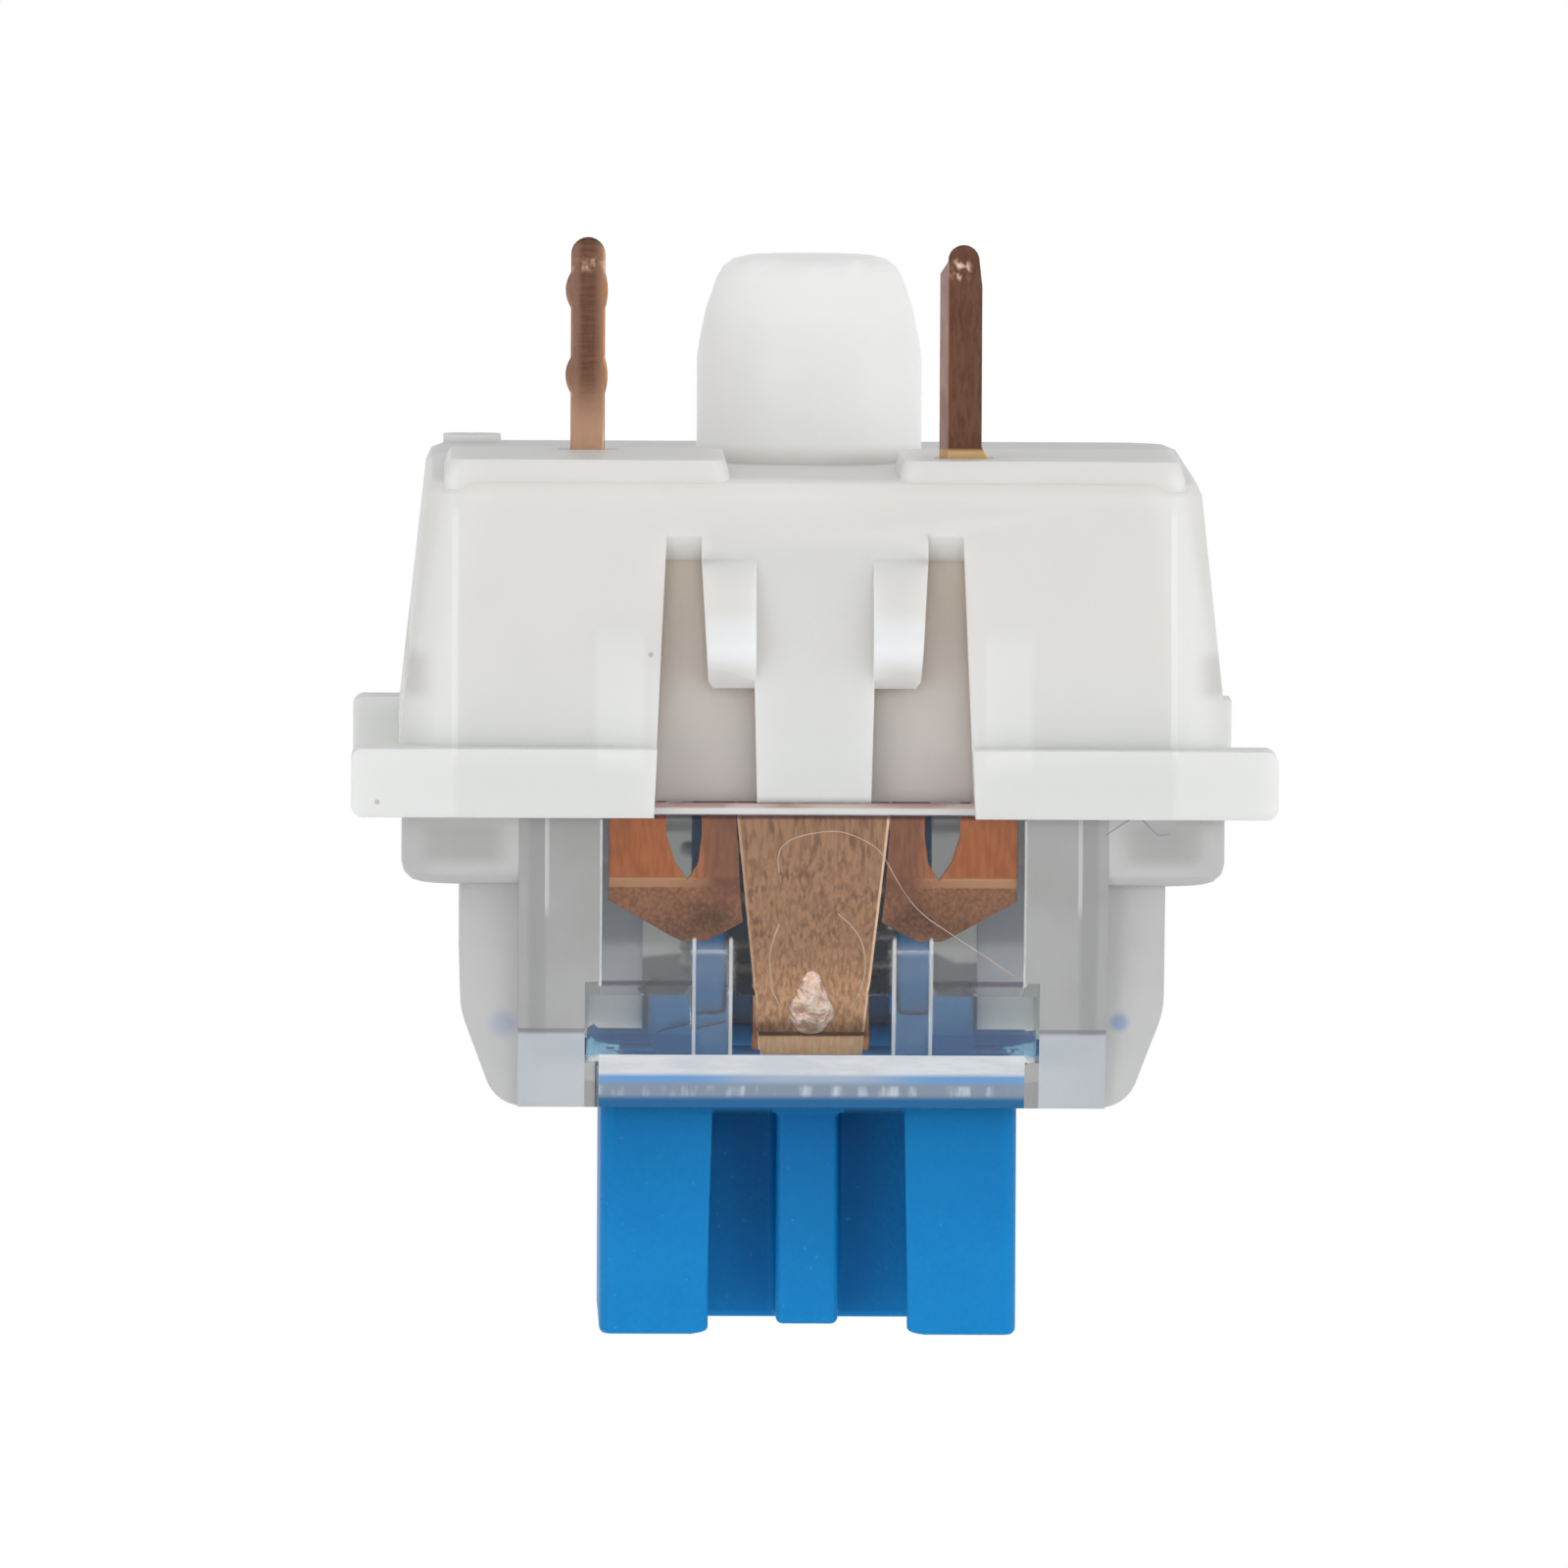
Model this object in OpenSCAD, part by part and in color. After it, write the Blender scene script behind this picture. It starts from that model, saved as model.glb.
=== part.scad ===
// Mechanical keyboard switch: two-part housing, sliding stem, return spring and sprung contact.
// Z runs up the stem. The origin is on the post's axis at the board, and the contacts are on -Y.

/* [Mounting] */
// Height of the collar's underside above the board
plate_plane = 5; // [4.8:0.1:5.4]
// Thickness of the mounting plate that the clips catch under
plate_t = 1.5; // [1.2:0.1:1.6]
// Width of the body where it meets the collar
body_w = 14; // [13.8:0.05:14.2]
// How far the collar stands out past the body
collar_reach = 0.8; // [0.6:0.05:1.1]
// Thickness of the collar
collar_t = 1.15; // [0.9:0.05:1.4]
// How far each wall leans in from the collar to the board side
base_inset = 0.45; // [0.2:0.05:0.6]
// Height of the body's board side above the board
base_z = 0.5; // [0.4:0.05:0.7]
// Height of the two platforms that the pins stand on
platform_h = 0.3; // [0.1:0.05:0.35]
// Radius of the centre post
post_r = 1.925; // [1.85:0.025:2]
// Length of the centre post below the board
post_len = 3; // [2.6:0.1:3.3]

/* [Bottom housing] */
// Thickness of the body's walls
wall = 1.1; // [1:0.05:1.2]
// Thickness of the floor
floor_t = 1.1; // [1:0.1:1.4]
// Radius of the body's upright corners
body_corner_r = 0.9; // [0.5:0.1:1.2]
// Width of the opening about a plate clip
clip_opening_w = 5.3; // [5:0.1:5.6]
// Width of the clip's tongue at its root
clip_tongue_w = 2.12; // [1.8:0.1:2.4]
// Width across the two catches of a clip
clip_catch_w = 3.82; // [3.6:0.1:4.2]
// How far the catches stand out of the body
clip_reach = 0.35; // [0.2:0.05:0.5]
// Thickness of a clip at its free end
clip_t = 0.45; // [0.35:0.05:0.5]

/* [Cover] */
// How far the cover's rim stands back from the body's faces
rim_setback = 0.05; // [0:0.05:0.2]
// Height of the cover's rim
rim_h = 1.2; // [1:0.1:1.4]
// Step from the rim in to the cover's sides
side_step = 1; // [0.8:0.05:1.2]
// Height of the cover over the collar
cover_h = 5.05; // [4.8:0.05:5.3]
// Step from the cover's sides in to the raised front panel
panel_step = 0.98; // [0.8:0.02:1.2]
// How far the panel leans in over its height
panel_lean = 1.45; // [1.2:0.05:1.6]
// Thickness of the cover's walls
cover_wall = 0.7; // [0.6:0.05:0.75]
// Thickness of the cover's top
ceiling_t = 0.83; // [0.7:0.05:0.9]

/* [Stem] */
// Travel of the stem
travel = 4; // [3.2:0.1:4]
// Width of the stem's upper block
stem_w = 7.1; // [6.9:0.1:7.3]
// Depth of the stem's upper block
stem_d = 5.55; // [5.4:0.05:5.6]
// Height of the stem over the cover at rest
stem_out = 4.1; // [4.1:0.1:4.3]
// Radius of the round well about the cross
well_r = 3.22; // [3.15:0.01:3.25]
// Depth of the well
well_depth = 3.8; // [3.6:0.1:4]
// Length of both arms of the cross
cross_len = 4.1; // [4:0.05:4.15]
// Thickness of the cross arm that runs side to side
cross_side_t = 1.29; // [1.1:0.01:1.35]
// Thickness of the cross arm that runs front to back
cross_front_t = 1.06; // [1:0.01:1.2]
// Radius of the guide pole
pole_r = 1.4; // [1.3:0.05:1.45]

/* [Return spring] */
// Outside diameter of the spring
spring_d = 4.36; // [4.3:0.02:4.5]
// Diameter of the spring wire
wire_d = 0.26; // [0.2:0.02:0.28]
// Number of open turns
spring_turns = 8; // [6:1:9]

/* [Contacts] */
// Thickness of the contact sheet
sheet_t = 0.15; // [0.1:0.01:0.18]
// Length of the pins below the board
pin_len = 3.4; // [3:0.1:3.6]
// Width of the pins
pin_w = 0.58; // [0.5:0.02:0.7]
// Width of the moving tongue at the collar
tongue_w = 2.6; // [2.4:0.1:2.8]
// Width of the moving tongue at its tip
tongue_tip_w = 1.72; // [1.5:0.1:2]
// Width across the two arms of the moving contact
arm_span = 6.9; // [6.6:0.1:7]
// Gap between the contact points at rest
contact_gap = 0.35; // [0.25:0.05:0.4]

/* [Hidden] */
$fn = 48;

// Running clearance between sliding plastic faces, and the fit about a fixed insert
slide_gap = 0.1;
insert_gap = 0.03;
// Small overlap that joins the shapes of one piece, and how far a cut runs past the faces it opens
bite = 0.05;
beyond = 1;

// Widths that follow the body and the contact
body_base_w = body_w - 2 * base_inset;
collar_w = body_w + 2 * collar_reach;
rim_w = body_w - 2 * rim_setback;
cover_w = rim_w - 2 * side_step;
front_w = cover_w - 2 * panel_step;
chamber_gap = 0.15;
chamber_w = arm_span + 2 * chamber_gap;

// Heights
floor_z = base_z + floor_t;
collar_top = plate_plane + collar_t;
cover_top = collar_top + cover_h;
ceiling_z = cover_top - ceiling_t;
catch_z = plate_plane - plate_t - 0.1;
clip_root_up = 1.4;
clip_root_z = base_z + clip_root_up;
clip_short = 0.2;
clip_top_z = collar_top - clip_short;
stem_top = cover_top + stem_out;
well_z = stem_top - well_depth;
shoulder_top = ceiling_z - bite;
shoulder_t = 0.36;
block_sunk = 1.02;
block_z = shoulder_top - block_sunk;
pole_end = floor_z + travel * 0.25;
pole_bore_end = pole_end - travel - 0.25;
tube_top = floor_z + travel * 0.5;
leg_spare = 0.4;
leg_end = floor_z + travel + leg_spare;
leg_sunk = 1.1;
leg_wide_z = shoulder_top - leg_sunk;
tower_top = ceiling_z - 0.37;

// Depths of the front layers, measured from the axis towards the contact side
collar_out = collar_w / 2;
body_out = body_w / 2;
sheet_depth = 0.85;
sheet_out = body_out - sheet_depth;
sheet_in = sheet_out - sheet_t;
panel_out = rim_w / 2;
panel_top_out = panel_out - panel_lean;
blade_setback = 1.55;
blade_out = sheet_in - blade_setback;
blade_in = blade_out - sheet_t;
arm_lean = 1;
arm_touch = sheet_in - arm_lean;
leg_out = arm_touch - 0.05;

// Contact places, on the usual grid of 1.27 mm
grid = 1.27;
fixed_pin = [3 * grid, -2 * grid];
moving_pin = [-2 * grid, -4 * grid];
point_z = ceiling_z - 0.95;
point_r = 0.4;
point_h = 0.12;
bend_z = collar_top + 0.22 * cover_h;
tongue_top = ceiling_z - 0.12;
tip_z = tongue_top - 0.34;
arm_top = ceiling_z - 0.4 * cover_h;
arm_x = 0.29 * arm_span;

// Stem legs, each with a narrow finger that works an arm
leg_w = 1.35;
leg_x = 2.07;
finger_w = 0.58;
finger_x = 1.74;
rail_w = 0.6;
rail_d = 1.8;
rail_setback = 2.55;
rail_x = body_out - rail_setback;

// Rectangle with round corners, made of true arcs
module round_rect(w, d, r) {
    square([w - 2 * r, d], center = true);
    square([w, d - 2 * r], center = true);
    for (sx = [-1, 1], sy = [-1, 1])
        translate([sx * (w / 2 - r), sy * (d / 2 - r)]) circle(r);
}

// Points of an arc, from one angle to the other
function arc(cx, cz, r, from, to, steps = 6) =
    [for (i = [0:steps]) let (a = from + (to - from) * i / steps) [cx + r * cos(a), cz + r * sin(a)]];

// Stretches a front view, drawn as x and z, from one depth to another
module front_slab(out, back) {
    translate([0, -back, 0]) rotate([90, 0, 0]) linear_extrude(out - back) children();
}

// Stretches a side view, drawn as depth and z, across the width
module side_slab(x0, x1) {
    translate([x0, 0, 0]) mirror([0, 1, 0]) rotate([90, 0, 90]) linear_extrude(x1 - x0) children();
}

module box(x0, x1, out, back, z0, z1) {
    translate([x0, -out, z0]) cube([x1 - x0, out - back, z1 - z0]);
}

// Both plate sides of the body carry the same shape
module both_plate_sides() {
    children();
    rotate([0, 0, 180]) children();
}

module four_latches() {
    for (sx = [-1, 1], sy = [-1, 1]) scale_sign(sx, sy) children();
}

module scale_sign(sx, sy) {
    mirror([sx < 0 ? 1 : 0, 0, 0]) mirror([0, sy < 0 ? 1 : 0, 0]) children();
}

// Bottom housing
edge_r = 0.3;
latch_y0 = 2.6;
latch_y1 = 5;
latch_t = 0.65;
latch_z = 3.4;
latch_out = body_out - 0.4;
tower_out = 3.5;
tower_t = 0.4;
guide_t = 0.5;
tube_t = 0.35;
tube_r = pole_r + slide_gap + tube_t;
cheek_grip = 0.5;
lamp_hole_r = 0.45;
skin_t = 0.15;
clip_gap = 0.1;
platform_in = 1.42;
platform_back = 1.9;
post_room = 0.9;
foot_w = 1;
foot_h = 0.13;
collar_relief = 0.3;

// Depth of the body's leaning face at a height
function body_face(z) = body_out - base_inset * max(0, plate_plane - z) / (plate_plane - base_z - edge_r);

module body_block() {
    hull() {
        translate([0, 0, base_z]) linear_extrude(bite)
            round_rect(body_base_w - 2 * edge_r, body_base_w - 2 * edge_r, body_corner_r, $fn = 32);
        translate([0, 0, base_z + edge_r * 0.3]) linear_extrude(bite)
            round_rect(body_base_w - edge_r * 0.6, body_base_w - edge_r * 0.6, body_corner_r, $fn = 32);
        translate([0, 0, base_z + edge_r]) linear_extrude(bite)
            round_rect(body_base_w, body_base_w, body_corner_r, $fn = 32);
        translate([0, 0, plate_plane]) linear_extrude(collar_t)
            round_rect(body_w, body_w, body_corner_r, $fn = 32);
    }
}

// Raised ground about each pin, which leaves a lower channel between them and a ring about the post
module platform(x0, x1, r) {
    y0 = -body_base_w / 2 + edge_r * 0.4;
    difference() {
        hull() {
            translate([(x0 + x1) / 2, (y0 - platform_back) / 2, base_z - platform_h])
                linear_extrude(bite) round_rect(x1 - x0 - 0.2, -platform_back - y0 - 0.2, r, $fn = 24);
            translate([(x0 + x1) / 2, (y0 - platform_back) / 2, base_z])
                linear_extrude(0.2) round_rect(x1 - x0, -platform_back - y0, r, $fn = 24);
        }
        translate([0, 0, base_z - beyond])
            cylinder(h = beyond + bite, r = post_r + post_room, $fn = 96);
    }
}

// Small foot on the corner away from the contacts
module corner_foot() {
    at = body_base_w / 2 - edge_r - foot_w / 2;
    translate([at, at, base_z - foot_h]) linear_extrude(foot_h + bite)
        round_rect(foot_w, foot_w, foot_w / 3);
}

module collar_strip() {
    front_slab(collar_out, body_out - 0.5)
        translate([0, plate_plane + collar_t / 2]) round_rect(collar_w, collar_t, 0.2, $fn = 24);
}

// The opening about a clip leaves a thin skin before the contact sheet, and its board end is sloped
module clip_opening() {
    half = clip_opening_w / 2;
    slope = 0.45;
    intersection() {
        front_slab(collar_out + beyond, 0) polygon([
            [-half + 0.15, clip_root_z - slope], [half - 0.15, clip_root_z - slope],
            [half + 0.1, collar_top + beyond], [-half - 0.1, collar_top + beyond]]);
        side_slab(-collar_w, collar_w) polygon([
            [sheet_out + skin_t, clip_root_z], [body_face(clip_root_z - slope), clip_root_z - slope],
            [collar_out + beyond, clip_root_z - slope], [collar_out + beyond, collar_top + beyond],
            [sheet_out + 2 * skin_t, collar_top + beyond]]);
    }
}

// Sprung tongue, flush with the body, and the two catches beside it that snap under the plate
module plate_clip() {
    root = clip_root_z - 0.5;
    gap_in = sheet_out + skin_t + clip_gap;
    half = clip_tongue_w / 2;
    catch_half = clip_catch_w / 2;
    intersection() {
        side_slab(-catch_half, catch_half) polygon([
            [gap_in, root], [body_face(root), root], [body_out, plate_plane], [body_out, clip_top_z - 0.12],
            [body_out - 0.12, clip_top_z], [body_out - clip_t, clip_top_z], [gap_in, clip_root_z]]);
        front_slab(collar_out, 0) polygon([
            [-catch_half, root], [catch_half, root], [catch_half, clip_root_z], [half, clip_root_z],
            [half - 0.1, clip_top_z], [-half + 0.1, clip_top_z], [-half, clip_root_z],
            [-catch_half, clip_root_z]]);
    }
    intersection() {
        side_slab(-catch_half, catch_half) polygon(concat(
            [[gap_in, clip_root_z - bite], [body_face(clip_root_z), clip_root_z - bite]],
            arc(body_out + clip_reach - 0.4, catch_z - 0.1, 0.4, -20, 45, 4),
            [[gap_in + 0.32, catch_z + 0.62], [gap_in + 0.06, catch_z + 0.62]]));
        for (side = [0, 1]) mirror([side, 0, 0]) front_slab(collar_out, 0) polygon([
            [half - 0.2, clip_root_z - bite], [catch_half, clip_root_z - bite],
            [catch_half - 0.12, catch_z + 0.5], [catch_half - 0.22, catch_z + 0.65],
            [half - 0.2, catch_z + 0.65]]);
    }
}

// Centre post with its rounded nose
module centre_post() {
    nose = [[post_r, base_z + bite], [post_r, -post_len * 0.42], [post_r * 0.975, -post_len * 0.53],
            [post_r * 0.925, -post_len * 0.69], [post_r * 0.83, -post_len * 0.87],
            [post_r * 0.765, -post_len * 0.94], [post_r * 0.68, -post_len * 0.98],
            [post_r * 0.55, -post_len], [0, -post_len], [0, base_z + bite]];
    rotate_extrude($fn = 96) polygon(nose);
}

module pin_hole(at) {
    translate([at[0], at[1], base_z - beyond]) linear_extrude(floor_t + 2 * beyond)
        square([pin_w + 4 * slide_gap, pin_w + 2 * insert_gap], center = true);
}

module latch_pocket() {
    translate([latch_out - latch_t - slide_gap, latch_y0 - slide_gap, latch_z - slide_gap])
        cube([latch_t + beyond, latch_y1 - latch_y0 + 2 * slide_gap, collar_top]);
    translate([latch_out - latch_t - 1, latch_y0 - slide_gap, latch_z])
        cube([1.5, latch_y1 - latch_y0 + 2 * slide_gap, 0.8]);
}

module rail_guide() {
    y = rail_d / 2 + slide_gap;
    for (side = [0, 1]) mirror([0, side, 0]) translate([rail_x - 0.1, y, floor_z - bite])
        cube([body_out - wall - rail_x + 0.2, guide_t, collar_top - floor_z - 0.3 + bite]);
}

// Upright wall beside each stem leg, standing clear of the contact's foot
module tower() {
    x0 = leg_x + leg_w / 2 + slide_gap;
    x1 = rail_x + 0.05;
    box(x0, x1, tower_out, tower_out - tower_t, floor_z + sheet_t + slide_gap, tower_top);
    box(x1 - tower_t, x1, tower_out, tower_out - tower_t, floor_z - bite, collar_top - 0.3);
}

// Groove cheek that holds one end of the moving contact's sheet
module sheet_cheek() {
    box(arm_span / 2 - cheek_grip, arm_span / 2 + cheek_grip, body_out - wall + bite,
        sheet_in - 2 * bite - sheet_t, floor_z - bite, collar_top - cheek_grip);
}

module bottom_housing() {
    color("whitesmoke") difference() {
        union() {
            difference() {
                union() {
                    body_block();
                    collar_strip();
                    difference() {
                        rotate([0, 0, 180]) collar_strip();
                        box(-collar_w, collar_relief - collar_out, 0, -collar_w, 0, cover_top);
                    }
                    platform(platform_in, body_base_w / 2 - edge_r, 0.25);
                    platform(edge_r - body_base_w / 2, -platform_in, 0.25);
                    corner_foot();
                }
                translate([0, 0, floor_z]) linear_extrude(collar_top)
                    round_rect(body_w - 2 * wall, body_w - 2 * wall, 0.4);
                both_plate_sides() clip_opening();
            }
            both_plate_sides() plate_clip();
            centre_post();
            translate([0, 0, base_z]) cylinder(h = tube_top - base_z, r = tube_r);
            for (side = [0, 1]) mirror([side, 0, 0]) {
                rail_guide();
                tower();
                sheet_cheek();
            }
        }
        translate([0, 0, pole_bore_end]) cylinder(h = stem_top, r = pole_r + slide_gap);
        box(-arm_span / 2 - slide_gap, arm_span / 2 + slide_gap, sheet_out + insert_gap,
            sheet_in - insert_gap, floor_z, collar_top + beyond);
        box(cheek_grip - arm_span / 2, arm_span / 2 - cheek_grip, sheet_out, body_out - wall - bite,
            floor_z, collar_top + beyond);
        box(-clip_opening_w / 2, clip_opening_w / 2, sheet_out + 2 * skin_t + clip_gap / 2, sheet_out,
            clip_top_z, collar_top + beyond);
        pin_hole(fixed_pin);
        pin_hole(moving_pin);
        four_latches() latch_pocket();
        for (side = [-1, 1]) translate([side * grid, 4 * grid, base_z - beyond])
            cylinder(h = floor_t + 2 * beyond, r = lamp_hole_r);
    }
}

// Cover
rim_r = 0.35;
rib_w = 0.62;
rib_x = 1.43;
rib_out = leg_out + slide_gap;
lamp_ledge = panel_top_out - 0.2 - stem_d / 2;
lamp_w = 3.4;

module rim_outline(inset) {
    round_rect(rim_w - 2 * inset, rim_w - 2 * inset, body_corner_r, $fn = 32);
}

module cover_front_view(inset) {
    w = cover_w / 2 - inset;
    side = concat([[w, collar_top]], arc(w - 1.5, cover_top - 1.95, 1.5, 0, 20, 4),
        arc(w - 1.08, cover_top - 0.66 - inset, 0.66, 22, 90));
    polygon(concat(side, [for (i = [len(side) - 1:-1:0]) [-side[i][0], side[i][1]]]));
}

module cover_side_view(out, top_out, top) {
    polygon([[-out, collar_top], [out, collar_top], [out, collar_top + rim_h - 0.35],
             [top_out, top], [-top_out, top], [-out, collar_top + rim_h - 0.35]]);
}

module latch_leg() {
    out = latch_out;
    translate([out - latch_t, latch_y0, latch_z])
        cube([latch_t, latch_y1 - latch_y0, collar_top + rim_h / 3 - latch_z]);
    translate([0, latch_y1, 0]) rotate([90, 0, 0]) linear_extrude(latch_y1 - latch_y0) polygon([
        [out - latch_t + bite, latch_z], [out - latch_t - 0.25, latch_z + 0.35],
        [out - latch_t - 0.25, latch_z + 0.6], [out - latch_t + bite, latch_z + 0.7]]);
}

module cover_shell() {
    shell_out = panel_out - 0.65;
    hull() {
        translate([0, 0, collar_top]) linear_extrude(bite) rim_outline(0);
        for (a = [0, 30, 60, 80]) translate([0, 0, collar_top + rim_h - bite - rim_r * (1 - sin(a))])
            linear_extrude(bite) rim_outline(rim_r * (1 - cos(a)));
    }
    intersection() {
        front_slab(panel_out, -panel_out) cover_front_view(0);
        side_slab(-panel_out, panel_out) cover_side_view(shell_out, panel_top_out - 0.2, cover_top);
    }
    side_slab(-front_w / 2, front_w / 2) polygon([
        [0, collar_top], [panel_out, collar_top], [panel_out, collar_top + rim_h],
        [panel_top_out, cover_top], [0, cover_top]]);
}

module cover_hollow() {
    rear_out = panel_out - 0.65 - cover_wall;
    intersection() {
        front_slab(rear_out, -rear_out) union() {
            cover_front_view(cover_wall);
            translate([-cover_w / 2 + cover_wall, collar_top - beyond])
                square([cover_w - 2 * cover_wall, 2 * beyond]);
        }
        side_slab(-panel_out, panel_out) polygon([
            [-rear_out, collar_top - beyond], [rear_out, collar_top - beyond], [rear_out, collar_top + 0.8],
            [panel_top_out - 0.2 - cover_wall, ceiling_z], [-panel_top_out + 0.2 + cover_wall, ceiling_z],
            [-rear_out, collar_top + 0.8]]);
    }
    // Contact chamber, reaching forward to the panel
    side_slab(-chamber_w / 2, chamber_w / 2) polygon([
        [0, collar_top - beyond], [panel_out - cover_wall, collar_top - beyond],
        [panel_out - cover_wall, collar_top + rim_h],
        [panel_top_out - cover_wall + 0.25, ceiling_z], [0, ceiling_z]]);
    side_slab(-chamber_w / 2 - 0.2, chamber_w / 2 + 0.2) polygon([
        [0, leg_wide_z], [panel_top_out + 0.1, leg_wide_z],
        [panel_top_out - cover_wall + 0.2, ceiling_z], [0, ceiling_z]]);
}

// Two clear ribs behind the panel, beside the tongue
module panel_ribs() {
    for (side = [0, 1]) mirror([side, 0, 0])
        side_slab(rib_x, rib_x + rib_w) polygon([
            [rib_out, arm_top + 0.15], [rib_out + 0.75, arm_top + 0.15],
            [panel_top_out, ceiling_z + bite], [rib_out, ceiling_z + bite]]);
}

module top_housing() {
    color("lightcyan", 0.4) {
        difference() {
            cover_shell();
            cover_hollow();
            translate([0, 0, ceiling_z - beyond]) linear_extrude(ceiling_t + 2 * beyond)
                round_rect(stem_w + 2 * slide_gap, stem_d + 2 * slide_gap, 0.35);
            translate([0, stem_d / 2 + lamp_ledge / 2, ceiling_z - beyond])
                linear_extrude(ceiling_t + 2 * beyond) round_rect(lamp_w, lamp_ledge * 0.45, 0.4);
        }
        panel_ribs();
        four_latches() latch_leg();
    }
}

// Stem
module cross() {
    translate([0, 0, well_z - bite]) linear_extrude(well_depth + bite - 0.12) {
        square([cross_len, cross_side_t], center = true);
        square([cross_front_t, cross_len], center = true);
    }
}

module stem_leg() {
    front_x0 = leg_x - leg_w / 2;
    side_slab(front_x0, front_x0 + leg_w) polygon([
        [stem_d / 2 - 0.3, leg_wide_z], [leg_out - 0.35, leg_wide_z],
        [leg_out - 0.45, shoulder_top - shoulder_t], [leg_out - 0.6, shoulder_top],
        [stem_d / 2 - 0.3, shoulder_top]]);
    side_slab(finger_x - finger_w / 2, finger_x + finger_w / 2) polygon([
        [leg_out - 0.9, leg_end + 0.1], [leg_out - 0.3, leg_end], [leg_out, leg_end + 0.6],
        [leg_out, arm_top + 0.2], [leg_out - 0.38, leg_wide_z + 0.3], [leg_out - 0.9, leg_wide_z + 0.3]]);
}

module stem() {
    color("dodgerblue") {
        difference() {
            union() {
                translate([0, 0, block_z]) linear_extrude(stem_top - block_z)
                    round_rect(stem_w, stem_d, 0.25);
                translate([0, 0, shoulder_top - shoulder_t / 2])
                    cube([2 * rail_x, stem_d + 0.5, shoulder_t], center = true);
            }
            translate([0, 0, well_z]) cylinder(h = well_depth + beyond, r = well_r, $fn = 96);
        }
        cross();
        translate([0, 0, pole_end]) cylinder(h = block_z - pole_end + bite, r = pole_r);
        for (side = [0, 1]) mirror([side, 0, 0]) {
            stem_leg();
            translate([rail_x - rail_w, -rail_d / 2, leg_end])
                cube([rail_w, rail_d, shoulder_top - leg_end]);
        }
    }
}

// Return spring: a wire ring swept along a coil whose end turns lie flat
spring_sides = 8;
spring_steps = 20;
coil_r = (spring_d - wire_d) / 2;
coil_low = floor_z + wire_d / 2;
coil_high = block_z - wire_d / 2;
rings = (spring_turns + 2) * spring_steps;

function coil_height(turn) = turn < 1 ? coil_low + turn * wire_d
    : turn > spring_turns + 1 ? coil_high - (spring_turns + 2 - turn) * wire_d
    : coil_low + wire_d + (turn - 1) / spring_turns * (coil_high - coil_low - 2 * wire_d);
function ring_point(i, j) = let (a = 360 * i / spring_steps, b = 360 * j / spring_sides,
    r = coil_r + wire_d / 2 * cos(b), z = coil_height(i / spring_steps) + wire_d / 2 * sin(b))
    [r * cos(a), r * sin(a), z];

module return_spring() {
    points = [for (i = [0:rings], j = [0:spring_sides - 1]) ring_point(i, j)];
    n = spring_sides;
    sides = [for (i = [0:rings - 1], j = [0:n - 1]) let (k = (j + 1) % n)
        [i * n + j, i * n + k, (i + 1) * n + k, (i + 1) * n + j]];
    ends = [[for (j = [n - 1:-1:0]) j], [for (j = [0:n - 1]) rings * n + j]];
    color("silver") polyhedron(points, concat(sides, ends), convexity = 10);
}

// Contacts
swells = [-1.05, -2.5];
swell_half = 0.3;
fold_w = 0.13;
fold_d = 0.35;
foot_out = 0.1;
pin_t = 0.4;

// Side of the fixed pin: straight, with two soft swellings that hold it in its solder hole
function swell(z) = max([for (c = swells) max(0, 1 - pow((z - c) / swell_half, 2))]);
function pin_side(rise, top) = concat([[pin_w / 2, top]],
    [for (c = swells, t = [-1:0.25:1]) [pin_w / 2 + rise * swell(c - t * swell_half), c - t * swell_half]]);

module wavy_pin(at, top) {
    half = pin_w / 2;
    left = pin_side(0.09, top);
    right = pin_side(0.045, top);
    translate([at[0], 0, 0]) front_slab(-at[1] + pin_t / 2, -at[1] - pin_t / 2)
        polygon(concat(left, arc(0, half - pin_len, half, 0, -180, 12),
            [for (i = [len(right) - 1:-1:0]) [-right[i][0], right[i][1]]]));
}

// Folded pin: a flat face with one edge turned back, and a foot that spreads at the board side
module folded_pin(at, top) {
    half = pin_w / 2;
    tip_r = half - 0.03;
    translate([at[0], 0, 0]) intersection() {
        translate([0, at[1], -pin_len - beyond]) linear_extrude(pin_len + top + beyond) polygon([
            [-half - foot_out, -pin_t / 2], [half, -pin_t / 2], [half + fold_w, fold_d - pin_t / 2],
            [half + fold_w - sheet_t, fold_d + bite - pin_t / 2], [half - sheet_t, bite],
            [-half - foot_out, bite]]);
        front_slab(collar_out, 0) polygon(concat(
            [[half + fold_w, top], [half + fold_w, 0.5 - pin_len], [half, 0.3 - pin_len]],
            arc(0.02, tip_r - pin_len, tip_r, 0, -180, 12),
            [[-half, 0.7 - pin_len], [-half, 0], [-half - foot_out, base_z - platform_h],
             [-half - foot_out, top]]));
    }
}

// Outline of the two arms, with the drop-shaped holes that set their flex
hole_w = 0.6;
hole_h = 1.5;
slit = 0.12;
apex_half = 0.2;

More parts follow.
